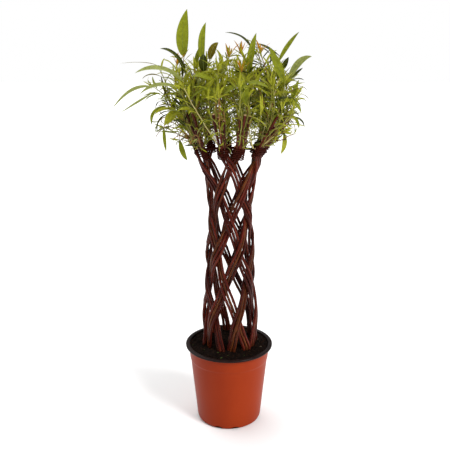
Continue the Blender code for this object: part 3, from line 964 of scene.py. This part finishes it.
class Stem:
    """One woven band of three rods, on the frame's own curve."""

    def __init__(self, eastward, number):
        self.eastward = eastward
        self.number = number
        starts = START_EAST if eastward else START_WEST
        self.start = starts[number] + STEM_SPACING * number
        self.ending = ("east_" if eastward else "west_") + str(number + 1)
        self.seed = number + (0 if eastward else STEMS_EACH_WAY)

    def azimuth(self, height):
        """The middle of the band."""
        if self.eastward:
            return self.start + smooth_value(TURN_EAST, height)
        return self.start - smooth_value(TURN_WEST, height)

    def lift(self, azimuth, height):
        """How far the weave lifts this stem out of the column's mean surface."""
        size = WEAVE_LIFT * rod_diameter(height) * fade(height, *LIFT_FADE)
        side = 1.0 if self.number % 2 == 0 else -1.0
        if self.eastward:
            place = azimuth + smooth_value(TURN_WEST, height)
            return -side * size * math.cos(math.pi * place_among(START_WEST, place))
        place = azimuth - smooth_value(TURN_EAST, height)
        return side * size * math.cos(math.pi * place_among(START_EAST, place))

    def radius(self, height):
        """The column's mean radius, and the flare above the ties."""
        if height <= TIE_HEIGHT:
            return smooth_value(COLUMN_RADIUS, height)
        lean = FLARE + FLARE_LEAN * math.cos(math.radians(self.azimuth(height)))
        return COLUMN_RADIUS[-1][1] + lean * (height - TIE_HEIGHT)

    def tilt(self, height):
        """How much longer the band is than its rise, where it runs round the column."""
        step = 0.002
        turn = self.azimuth(height + step) - self.azimuth(height - step)
        sideways = math.radians(turn) * self.radius(height) / (2.0 * step)
        return math.sqrt(1.0 + sideways * sideways)

    def rod_place(self, rod, height):
        """The middle of one rod at a height."""
        radius = self.radius(height)
        across = rod * smooth_value(ROD_PITCH, height)
        loose = 1.0 - 0.8 * math.exp(-((height - TIE_MIDDLE) / 0.018) ** 2)
        drift = Vector((self.seed * 5.1, rod * 3.7, height * WANDER_RATE))
        across += WANDER_ACROSS * loose * 2.0 * noise.noise(drift)
        outward = WANDER_OUT * 2.0 * noise.noise(drift + Vector((50.0, 0.0, 0.0)))
        azimuth = self.azimuth(height) + math.degrees(across * self.tilt(height) / radius)
        return on_column(azimuth, radius + self.lift(azimuth, height) + outward, height)


class Rod:
    """One rod of a stem: its line, girth, buds and cut end."""

    def __init__(self, stem, rod, dice):
        self.stem = stem
        self.rod = rod
        self.top = dice.uniform(*ROD_TOPS)
        self.girth = dice.uniform(*ROD_GIRTH)
        low = SOIL_TOP - ROD_SINK
        count = int((self.top - low) / ROD_STEP)
        self.heights = [mix(low, self.top, step / count) for step in range(count + 1)]
        self.line = [stem.rod_place(rod, height) for height in self.heights]
        self.frames = frames_along(self.line)
        self.travel = [0.0]
        for index in range(1, len(self.line)):
            self.travel.append(self.travel[-1] + (self.line[index] - self.line[index - 1]).length)
        self.buds = []
        at = dice.uniform(0.015, 0.035)
        turn = dice.uniform(0.0, 2.0 * math.pi)
        while at < self.travel[-1] - 0.008:
            self.buds.append((at, turn))
            at += dice.uniform(*BUD_SPACING)
            turn += math.radians(GOLDEN_TURN + dice.uniform(-15.0, 15.0))

    def radius(self, height):
        """The rod's own radius at a height."""
        flare = 1.0 + 0.10 * math.exp(-max(height - SOIL_TOP, 0.0) / 0.012)
        return rod_diameter(height) / 2.0 * self.girth * flare

    def shape(self, angle, travel):
        """Bark relief, and the swelling under each bud."""
        place = Vector((math.cos(angle) * 1.3, math.sin(angle) * 1.3, travel * 60.0))
        place.x += self.stem.seed * 9.0 + self.rod * 3.0
        size = 1.0 + BARK_RELIEF * noise.noise(place)
        for at, turn in self.buds:
            apart = travel - at
            if -0.012 < apart < 0.012:
                facing = 0.5 + 0.5 * math.cos(angle - turn)
                size += 0.13 * facing * math.exp(-(apart / 0.0035) ** 2)
        return size

    def index_at(self, height):
        """The station nearest to a height."""
        share = (height - self.heights[0]) / (self.heights[-1] - self.heights[0])
        return min(max(round(share * (len(self.heights) - 1)), 0), len(self.heights) - 1)

    def point_at(self, height):
        """The middle of the rod at a height."""
        return self.line[self.index_at(height)]

    def index_along(self, travel):
        """The station nearest to a distance along the rod."""
        return min(range(len(self.travel)), key=lambda index: abs(self.travel[index] - travel))


def add_rod(gather, rod, slot):
    """The rod's bark."""
    radii = [rod.radius(height) for height in rod.heights]
    gather.tube(rod.line, radii, ROD_SIDES, slot, caps=(True, False), shape=rod.shape)


def add_cut_end(gather, rod, dice):
    """The pale, slightly slanting cut at a rod's top."""
    frame_here = rod.frames[-1]
    tangent = frame_here[0]
    radius = rod.radius(rod.heights[-1])
    slant = spread_vector(dice, 0.25)
    last = rod.travel[-1]
    rings = ((1.0, 0.0), (0.93, 0.0006), (0.45, 0.0009))
    points = []
    for share, rise in rings:
        for corner in range(ROD_SIDES):
            angle = 2.0 * math.pi * corner / ROD_SIDES
            size = radius * share * (rod.shape(angle, last) if share == 1.0 else 1.0)
            out = around(frame_here, angle, size)
            lean = out.dot(slant) * (1.0 if share < 1.0 else 0.0)
            points.append(rod.line[-1] + out + tangent * (rise + lean))
    points.append(rod.line[-1] + tangent * 0.0008)
    faces = ring_faces(2, ROD_SIDES)
    for corner in range(ROD_SIDES):
        after = (corner + 1) % ROD_SIDES
        faces.append((2 * ROD_SIDES + corner, 2 * ROD_SIDES + after, len(points) - 1))
    gather.add(points, faces)


def add_bud(gather, rod, at, turn, dice):
    """A small pointed bud, pressed to the bark."""
    index = rod.index_along(at)
    tangent = rod.frames[index][0]
    out = around(rod.frames[index], turn)
    beside = tangent.cross(out)
    base = rod.line[index] + out * (rod.radius(rod.heights[index]) * 0.98)
    length = BUD_LENGTH * dice.uniform(0.7, 1.2)
    points = []
    for step in range(5):
        share = step / 4.0
        swell = math.sin(math.pi * (0.12 + 0.86 * share)) ** 0.8
        for corner in range(6):
            angle = 2.0 * math.pi * corner / 6.0
            wide = beside * (math.cos(angle) * BUD_HALF_WIDTH * swell)
            high = out * (math.sin(angle) * BUD_HALF_DEPTH * swell + 0.0004 * share)
            points.append(base + tangent * (length * (share - 0.25)) + wide + high)
    gather.add(points, [(5, 4, 3, 2, 1, 0), tuple(range(24, 30))] + ring_faces(4, 6))


def make_stems():
    """All the rods. Returns them, so that the ties and shoots can follow them."""
    barks = [bark_look("bark_" + name, *colours) for name, colours in BARKS.items()]
    chances = list(BARK_SHARES)
    wood = wood_look()
    bud_look = stalk_look("bud_scales", (0.030, 0.008, 0.005), (0.120, 0.036, 0.018))
    buds = Gather()
    ends = Gather()
    stubs = Gather()
    rods = []
    for eastward in (True, False):
        for number in range(STEMS_EACH_WAY):
            stem = Stem(eastward, number)
            dice = random.Random(100 + stem.seed)
            bark = Gather()
            own = []
            for place in RODS:
                rod = Rod(stem, place, dice)
                add_rod(bark, rod, dice.choices(range(len(barks)), chances)[0])
                add_cut_end(ends, rod, dice)
                for at, turn in rod.buds:
                    add_bud(buds, rod, at, turn, dice)
                own.append(rod)
            rods += own
            for _ in range(STUBS_PER_STEM):
                add_stub(stubs, ends, dice.choice(own), dice)
            bark.build("rods_" + stem.ending, barks, "bark", ["stem_" + stem.ending])
    buds.build("rod_buds", [bud_look], "bark")
    ends.build("rod_cut_ends", [wood], "bark")
    stubs.build("rod_stubs", barks[:1], "bark")
    return rods


def add_stub(stubs, ends, rod, dice):
    """A side shoot that was cut back to a stub."""
    index = rod.index_at(dice.uniform(*STUB_HEIGHTS))
    out = around(rod.frames[index], dice.uniform(0.0, 2.0 * math.pi))
    line = (rod.frames[index][0] * 0.6 + out).normalized()
    length = dice.uniform(*STUB_LENGTHS)
    radius = dice.uniform(*STUB_RADII)
    start = rod.line[index] + out * 0.0015
    centres = [start + line * (length * step / 4.0) for step in range(5)]
    stubs.tube(centres, [radius * 1.25, radius * 1.1, radius, radius, radius], 8)
    tip = centres[-1]
    ends.tube([tip, tip + line * 0.0003], [radius * 0.95, radius * 0.80], 8)


# ---------------------------------------------------------------- twine


def twine_shape(angle, travel):
    """Three strands laid together."""
    return 1.0 + 0.16 * math.cos(3.0 * (angle - travel * TWINE_TWIST / 3.0))


def band_outline(share, half_wide, half_deep):
    """A point on a long outline with round ends, once round for each whole share."""
    straight = 2.0 * (half_wide - half_deep)
    bend = math.pi * half_deep
    at = (share % 1.0) * 2.0 * (straight + bend)
    middle = half_wide - half_deep
    if at < straight:
        return (-middle + at, -half_deep)
    at -= straight
    if at < bend:
        angle = at / half_deep - math.pi / 2.0
        return (middle + half_deep * math.cos(angle), half_deep * math.sin(angle))
    at -= bend
    if at < straight:
        return (middle - at, half_deep)
    at -= straight
    angle = at / half_deep + math.pi / 2.0
    return (-middle + half_deep * math.cos(angle), half_deep * math.sin(angle))


def make_ties(rods):
    """Each stem's tie: turns of twine wound round its three rods."""
    twine = twine_look()
    for start in range(0, len(rods), len(RODS)):
        own = rods[start:start + len(RODS)]
        stem = own[0].stem
        dice = random.Random(300 + stem.seed)
        centre = own[1].point_at(TIE_MIDDLE)
        axis = own[1].frames[own[1].index_at(TIE_MIDDLE)][0]
        apart = own[2].point_at(TIE_MIDDLE) - own[0].point_at(TIE_MIDDLE)
        across = (apart - axis * apart.dot(axis)).normalized()
        outward = across.cross(axis)
        radius = own[1].radius(TIE_MIDDLE) + TWINE_RADIUS * 0.9
        wide = apart.length / 2.0 + radius
        centres = []
        for step in range(TIE_STEPS * TIE_TURNS + 1):
            turns = step / TIE_STEPS
            x, y = band_outline(turns + 0.15, wide, radius)
            x += math.copysign(TIE_STAND_OUT, x) * min(abs(x) / wide, 1.0) ** 4
            rise = TIE_LENGTH * (turns / TIE_TURNS - 0.5)
            jog = 0.0012 * noise.noise(Vector((turns * 1.7, stem.seed * 4.0, 0.0)))
            swell = 1.0 + 0.05 * noise.noise(Vector((turns * 2.3, stem.seed, 9.0)))
            centres.append(centre + axis * (rise + jog) + across * (x * swell) + outward * (y * swell))
        gather = Gather()
        gather.tube(centres, [TWINE_RADIUS] * len(centres), 12, shape=twine_shape)
        for _ in range(TIE_TAILS):
            add_twine_tail(gather, centre + outward * radius, axis, across, outward, dice)
        gather.build("twine_" + stem.ending, [twine], "cord", ["tie_" + stem.ending])
    make_hoop(rods, twine)


def add_twine_tail(gather, start, axis, across, outward, dice):
    """A short loose end of a knot."""
    away = (across * dice.uniform(-1.0, 1.0) - axis * dice.uniform(-0.4, 1.0)).normalized()
    length = dice.uniform(*TAIL_LENGTHS)
    centres = []
    for step in range(8):
        share = step / 7.0
        point = start + away * (length * share) + outward * (0.0022 * math.sin(share * math.pi))
        centres.append(point - Vector((0.0, 0.0, 0.003 * share * share)))
    gather.tube(centres, [TWINE_RADIUS * mix(0.95, 0.6, step / 7.0) for step in range(8)], 8)


def make_hoop(rods, twine):
    """The cord that runs inside the back stems, from tie to tie."""
    holds = []
    for rod in rods[1::len(RODS)]:
        place = rod.point_at(HOOP_HEIGHT)
        azimuth = math.degrees(math.atan2(place.y, place.x - COLUMN_MIDDLE))
        if HOOP_SPAN[0] <= azimuth <= HOOP_SPAN[1]:
            inner = math.hypot(place.x - COLUMN_MIDDLE, place.y) - HOOP_INSIDE
            holds.append((azimuth, on_column(azimuth, inner, HOOP_HEIGHT)))
    holds.sort(key=lambda hold: hold[0])
    centres = []
    for index in range(len(holds) - 1):
        start, end = holds[index][1], holds[index + 1][1]
        for step in range(24):
            share = step / 24.0
            sag = Vector((0.0, 0.0, -0.0008 * math.sin(math.pi * share)))
            centres.append(start.lerp(end, share) + sag)
    centres.append(holds[-1][1])
    gather = Gather()
    gather.tube(centres, [HOOP_THICK / 2.0] * len(centres), 12, shape=twine_shape)
    for azimuth, place in holds:
        ring = []
        outward = on_circle(azimuth, 1.0, 0.0)
        for step in range(29):
            angle = 2.0 * math.pi * step / 14.0
            rise = 0.0044 * math.sin(angle) + 0.0012 * (step / 14.0 - 1.0)
            ring.append(place + outward * (0.0030 * math.cos(angle)) + Vector((0.0, 0.0, rise)))
        gather.tube(ring, [TWINE_RADIUS] * len(ring), 8)
    gather.build("twine_hoop", [twine], "cord", ["binding_hoop"])


# ---------------------------------------------------------------- crown


def crown_top(distance):
    """The height of the crown's top at a distance from its middle."""
    share = min(distance / CROWN_RADIUS, 1.0)
    return CROWN_TOP - CROWN_SHOULDER * share ** 4.0


def inside_crown(point, slack):
    """Whether a point lies in the crown, grown by slack."""
    distance = math.hypot(point.x - CROWN_MIDDLE[0], point.y - CROWN_MIDDLE[1])
    if distance > CROWN_RADIUS + slack:
        return False
    floor = CROWN_FLOOR + CROWN_SKIRT * max(distance - SKIRT_INSIDE, 0.0)
    return floor < point.z < crown_top(distance) + slack


class Foliage:
    """All the leaves, ribs and shoots, gathered by kind."""

    def __init__(self):
        self.blades = {kind: Gather() for kind in LEAF_KINDS}
        self.blades["young"] = Gather()
        self.ribs = {kind: Gather() for kind in RIB_COLOURS}
        self.shoots = {kind: Gather() for kind in SHOOT_COLOURS}
        self.dice = random.Random(8)

    def add_blade(self, kind, line, facing, width, fold, wave=0.0):
        """A leaf on its midrib's line, with its upper face towards facing."""
        points = []
        places = []
        stations = len(line)
        frames = frames_along(line)
        phase = self.dice.uniform(0.0, 6.0)
        length = sum((line[step + 1] - line[step]).length for step in range(stations - 1))
        seed = self.dice.uniform(0.0, 90.0)
        for index, middle in enumerate(line):
            share = index / (stations - 1)
            tangent = frames[index][0]
            normal = (facing - tangent * facing.dot(tangent)).normalized()
            side = tangent.cross(normal)
            half = width / 2.0 * blade_outline(share)
            for across in LEAF_ACROSS:
                curl = wave * math.sin(9.0 * share + phase + across) * abs(across)
                out = side * (across * half * math.cos(fold))
                rise = normal * (half * (abs(across) * math.sin(fold) + curl))
                points.append(middle + out + rise)
                places.append((across * half, share * length, seed))
        wide = len(LEAF_ACROSS)
        faces = []
        for row in range(stations - 1):
            for step in range(wide - 1):
                low = row * wide + step
                faces.append((low, low + 1, low + wide + 1, low + wide))
        self.blades[kind].add(points, faces, 0, places)
        soft = "soft" if kind in ("deep", "mid", "grey") else "pale"
        radii = []
        for index in range(stations):
            share = index / (stations - 1)
            radii.append(mix(*RIB_RADII, share) * min(width / 0.010, 1.4))
        self.ribs[soft].tube(line, radii, RIB_SIDES)

    def grow_leaf(self, kind, base, direction, upward, length, width, arch, twist):
        """A leaf that leaves its shoot in a direction and arches over. False if it can't fit."""
        dice = self.dice
        step = length / (LEAF_STATIONS - 1)
        line = [base]
        heading = direction.normalized()
        sideways = heading.cross(upward)
        if sideways.length < 0.05:
            sideways = heading.orthogonal()
        sideways.normalize()
        for index in range(LEAF_STATIONS - 1):
            share = index / (LEAF_STATIONS - 1)
            turn = -arch / (LEAF_STATIONS - 1) * (0.4 + 1.2 * share)
            heading = Matrix.Rotation(turn, 3, sideways) @ heading
            line.append(line[-1] + heading * step)
        for point in (line[-1], line[len(line) * 2 // 3]):
            if not inside_crown(point, LEAF_SLACK):
                return False
        facing = sideways.cross(direction).normalized()
        facing = (facing + sideways * twist).normalized()
        self.add_blade(kind, line, facing, width, dice.uniform(0.12, 0.55), dice.uniform(0.0, 0.22))
        return True

    def add_petiole(self, shoot_kind, start, end):
        """A leaf's short stalk."""
        middle = start.lerp(end, 0.5) + Vector((0.0, 0.0, 0.0004))
        radii = [PETIOLE_RADIUS * share for share in (1.0, 0.8, 0.7)]
        self.shoots[shoot_kind].tube([start, middle, end], radii, 5)

    def grow_shoot(self, start, middle, end, kind, leaf_length, slim,
                   first=SHOOT_FIRST_LEAF, top="fresh", bark=None):
        """A shoot with its leaves, from a rod to a place in the crown."""
        dice = self.dice
        length = (middle - start).length + (end - middle).length
        count = max(int(length / SHOOT_STEP), 6)
        sway = spread_vector(dice, 9.0)
        line = []
        for step in range(count + 1):
            share = step / count
            point = through(start, middle, end, share)
            wobble = drift_vector(sway + point * 45.0) * SHOOT_WOBBLE
            line.append(point + wobble * math.sin(math.pi * share))
        thick = mix(*SHOOT_RADII, min(length / SHOOT_FULL_LENGTH, 1.0))
        radii = [mix(thick, SHOOT_TIP_RADIUS, step / count) for step in range(count + 1)]
        shoot_kind = bark or ("tan" if dice.random() < TAN_SHARE else "green")
        self.shoots[shoot_kind].tube(line, radii, SHOOT_SIDES)
        frames = frames_along(line)
        travelled = 0.0
        next_leaf = first + dice.uniform(0.0, 0.008)
        turn = dice.uniform(0.0, 360.0)
        for index in range(1, len(line)):
            travelled += (line[index] - line[index - 1]).length
            if travelled < next_leaf:
                continue
            share = min(travelled / length, 1.0)
            next_leaf = travelled + mix(*LEAF_SPACING, share) * dice.uniform(0.75, 1.25)
            turn += GOLDEN_TURN + dice.uniform(-14.0, 14.0)
            tangent = frames[index][0]
            outward = around(frames[index], math.radians(turn))
            size = leaf_length * (0.62 + 0.75 * share - 0.85 * share ** 2.6) * dice.uniform(0.8, 1.15)
            spread = mix(1.20, 0.60, share) * dice.uniform(0.75, 1.2)
            heading = tangent * math.cos(spread) + outward * math.sin(spread)
            heading += Vector((0.0, 0.0, 0.06))
            leaf_kind = kind
            if share > 0.80 and dice.random() < 0.7:
                leaf_kind = top
            elif dice.random() < OTHER_KIND_SHARE:
                leaf_kind = dice.choice(("mid", "fresh", "deep"))
            base = line[index] + heading.normalized() * PETIOLE_LENGTH
            arch = dice.uniform(0.4, 2.5) * (1.15 - 0.60 * share)
            for _ in range(LEAF_FITS):
                width = size * slim * dice.uniform(0.85, 1.15)
                width = min(max(width, LEAF_WIDTHS[0]), LEAF_WIDTHS[1])
                twist = dice.uniform(-1.2, 1.2)
                if self.grow_leaf(leaf_kind, base, heading, tangent, size, width, arch, twist):
                    self.add_petiole(shoot_kind, line[index], base)
                    break
                size *= 0.80
        self.add_tip(line[-1], frames[-1][0], leaf_length * 0.42, top, 4)

    def add_tip(self, base, heading, length, kind, count):
        """The upright young leaves at the end of a shoot."""
        dice = self.dice
        side = heading.orthogonal().normalized()
        for number in range(count):
            angle = math.radians(number * GOLDEN_TURN + dice.uniform(-20.0, 20.0))
            outward = Matrix.Rotation(angle, 3, heading) @ side
            spread = mix(0.15, 0.60, number / max(count - 1, 1))
            direction = heading * math.cos(spread) + outward * math.sin(spread)
            size = length * mix(0.65, 1.15, number / max(count - 1, 1)) * dice.uniform(0.8, 1.1)
            width = size * dice.uniform(0.11, 0.16)
            self.grow_leaf(kind, base, direction, heading, size, width, dice.uniform(0.0, 0.5), 0.0)

    def build(self):
        """The finished pieces, which stand for all the frame's masses of foliage."""
        masses = sorted(name for name in frame["nodes"] if name.startswith("foliage_"))
        looks = {kind: leaf_look("leaf_" + kind, values[1]) for kind, values in LEAF_KINDS.items()}
        looks["young"] = leaf_look("leaf_young", YOUNG_COLOUR)
        replaced = masses
        for kind, gather in self.blades.items():
            gather.build("leaves_" + kind, [looks[kind]], "foliage", replaced, 180.0)
            replaced = ()
        for kind, gather in self.ribs.items():
            look = stalk_look("rib_" + kind, *RIB_COLOURS[kind])
            gather.build("leaf_ribs_" + kind, [look], "foliage")
        for kind, gather in self.shoots.items():
            look = stalk_look("shoot_" + kind, *SHOOT_COLOURS[kind])
            gather.build("shoots_" + kind, [look], "foliage")


def blade_outline(share):
    """A willow leaf's half width, from base to tip, as a share of its widest."""
    return (share ** 0.72) * ((1.0 - share) ** 0.92) / 0.3307 + 0.02 * (1.0 - share)


def pick_kind(dice):
    """A leaf kind, by its share of the crown."""
    kinds = list(LEAF_KINDS)
    return dice.choices(kinds, [LEAF_KINDS[kind][0] for kind in kinds])[0]


def nearest_rod(rods, point):
    """The rod whose top is nearest to a point, seen from above."""
    flat = Vector((point.x, point.y))
    return min(rods, key=lambda rod: (Vector(rod.line[-1][:2]) - flat).length)


def rod_start(rod, height, dice):
    """A point on a rod's bark, and the rod's direction there."""
    frame_here = rod.frames[rod.index_at(height)]
    out = around(frame_here, dice.uniform(0.0, 2.0 * math.pi))
    start = rod.point_at(height) + out * (rod.radius(height) * 0.8)
    return start, (frame_here[0] + out * 0.5).normalized()


def grow_to(foliage, rods, place, kind, leaf_length, slim, first=SHOOT_FIRST_LEAF):
    """A shoot from the nearest rod to a place."""
    dice = foliage.dice
    rod = nearest_rod(rods, place)
    height = dice.uniform(SHOOT_START, rod.top - 0.004)
    height = min(height, max(place.z - 0.03, SHOOT_START))
    start, heading = rod_start(rod, height, dice)
    reach = (place - start).length
    middle = start.lerp(place, 0.5) + heading * (reach * 0.10)
    bark = "tan" if place.z < LOW_PLACE else None
    foliage.grow_shoot(start, middle, place, kind, leaf_length, slim, first, bark=bark)


def grow_upright(foliage, rod):
    """A nearly upright shoot from a rod, bare below and leafy above."""
    dice = foliage.dice
    height = dice.uniform(SHOOT_START, rod.top - 0.003)
    start, heading = rod_start(rod, height, dice)
    end = rod.line[-1]
    lean = dice.betavariate(2.2, 1.2) * SHOOT_LEAN
    place = Vector((end.x * lean, end.y * lean, 0.0)) + spread_vector(dice, SHOOT_DRIFT)
    place.x += CROWN_MIDDLE[0]
    place.y += CROWN_MIDDLE[1]
    distance = math.hypot(place.x - CROWN_MIDDLE[0], place.y - CROWN_MIDDLE[1])
    low = mix(0.775, 0.750, min(distance / CROWN_RADIUS, 1.0))
    place.z = mix(low, crown_top(distance) - SHOOT_HEADROOM, dice.betavariate(1.9, 1.1))
    middle = start.lerp(place, 0.45)
    middle.x += (end.x - start.x) * 0.35
    middle.y += (end.y - start.y) * 0.35
    slim = dice.choice(UPRIGHT_SLIM)
    length = dice.uniform(*UPRIGHT_LEAVES)
    kind = pick_kind(dice)
    foliage.grow_shoot(start, middle, place, kind, length, slim, dice.uniform(*UPRIGHT_BARE))


def grow_low(foliage, rod):
    """A short, bushy shoot from the lower part of a rod's free end."""
    dice = foliage.dice
    start, heading = rod_start(rod, dice.uniform(LOW_START, rod.top - 0.006), dice)
    sideways = spread_vector(dice, LOW_DRIFT)
    end = start + heading * dice.uniform(*LOW_REACH) + sideways
    if dice.random() < INWARD_SHARE:
        inward = dice.uniform(0.35, 0.85)
        end.x *= inward
        end.y *= inward
    end.z = max(end.z, start.z - 0.006)
    middle = start.lerp(end, 0.5) + heading * 0.004
    kind = pick_kind(dice)
    length = dice.uniform(*LOW_LEAVES)
    foliage.grow_shoot(start, middle, end, kind, length, dice.choice(LOW_SLIM), LOW_BARE)


def make_crown(rods):
    """Grows the crown: listed leaves first, then shoots from every rod."""
    foliage = Foliage()
    dice = foliage.dice
    for kind, facing, width, *places in FEATURE_LEAVES:
        base, middle, tip = [in_metres(place) for place in places]
        grow_to(foliage, rods, base, pick_kind(dice), 0.058, 0.11, 0.030)
        steps = FEATURE_STATIONS - 1
        line = [through(base, middle, tip, step / steps) for step in range(steps + 1)]
        foliage.add_blade(kind, line, Vector(FACINGS[facing]).normalized(), width / 1000.0, 0.22, 0.08)
    for place in YOUNG_TIPS:
        place = in_metres(place)
        grow_to(foliage, rods, place, pick_kind(dice), 0.060, 0.12)
        foliage.add_tip(place, Vector((0.0, 0.0, 1.0)), 0.034, "young", 6)
    for places in LONG_SHOOTS:
        start, middle, end = [in_metres(place) for place in places]
        foliage.grow_shoot(start, middle, end, "fresh", 0.055, 0.12, 0.075, bark="pale")
    for places in HANGING_SHOOTS:
        start, middle, end = [in_metres(place) for place in places]
        kind = pick_kind(dice)
        foliage.grow_shoot(start, middle, end, kind, 0.034, 0.12, 0.030, "mid", "tan")
    for rod in rods:
        for _ in range(SHOOTS_PER_ROD):
            grow_upright(foliage, rod)
        for _ in range(LOW_SHOOTS_PER_ROD):
            grow_low(foliage, rod)
    foliage.build()


# ---------------------------------------------------------------- studio


def make_studio():
    """A pale floor, a bright soft surround, soft lights and the camera."""
    scene = bpy.context.scene
    scene.view_settings.view_transform = "Standard"
    shape = bmesh.new()
    bmesh.ops.create_grid(shape, x_segments=1, y_segments=1, size=FLOOR_SIZE / 2.0)
    mesh = bpy.data.meshes.new("floor")
    shape.to_mesh(mesh)
    shape.free()
    look = Look("floor_paper", (0.93, 0.93, 0.93), 0.9)
    grain = look.noise(look.coordinates(), 60.0)
    look.bump(grain, 0.02, 0.001)
    mesh.materials.append(look.material)
    floor = bpy.data.objects.new("floor", mesh)
    floor.location = (0.0, 0.0, -0.0005)
    scene.collection.objects.link(floor)

    make_surround(scene)
    for name, (source, softness, strength) in SUNS.items():
        add_sun(name, source, softness, strength)

    camera = bpy.data.objects.new("camera", bpy.data.cameras.new("camera"))
    camera.data.sensor_width = 36.0
    camera.data.lens = CAMERA_LENS
    camera.data.shift_x = CAMERA_SHIFT[0]
    camera.data.shift_y = CAMERA_SHIFT[1]
    camera.location = CAMERA_PLACE
    camera.rotation_euler = (math.radians(90.0 - CAMERA_DIP), 0.0, 0.0)
    scene.collection.objects.link(camera)
    scene.camera = camera


def make_surround(scene):
    """A white surround, which lights the plant less than it shows."""
    world = bpy.data.worlds.new("studio")
    scene.world = world
    world.use_nodes = True
    tree = world.node_tree
    lit = tree.nodes["Background"]
    lit.inputs["Color"].default_value = (1.0, 1.0, 1.0, 1.0)
    lit.inputs["Strength"].default_value = SURROUND_LIGHT
    seen = tree.nodes.new("ShaderNodeBackground")
    seen.inputs["Color"].default_value = (1.0, 1.0, 1.0, 1.0)
    seen.inputs["Strength"].default_value = 1.0
    ray = tree.nodes.new("ShaderNodeLightPath")
    both = tree.nodes.new("ShaderNodeMixShader")
    tree.links.new(ray.outputs["Is Camera Ray"], both.inputs["Fac"])
    tree.links.new(lit.outputs["Background"], both.inputs[1])
    tree.links.new(seen.outputs["Background"], both.inputs[2])
    tree.links.new(both.outputs["Shader"], tree.nodes["World Output"].inputs["Surface"])


def add_sun(name, source, softness, strength):
    """A soft light from far away, in the direction of source."""
    light = bpy.data.lights.new(name, "SUN")
    light.angle = math.radians(softness)
    light.energy = strength
    lamp = bpy.data.objects.new(name, light)
    lamp.rotation_euler = Vector(source).to_track_quat("Z", "Y").to_euler()
    bpy.context.scene.collection.objects.link(lamp)


# ---------------------------------------------------------------- main

for leftover in list(bpy.data.objects):
    bpy.data.objects.remove(leftover)
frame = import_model()

make_pot()
make_soil()
all_rods = make_stems()
make_ties(all_rods)
make_crown(all_rods)
make_studio()

bpy.context.view_layer.update()
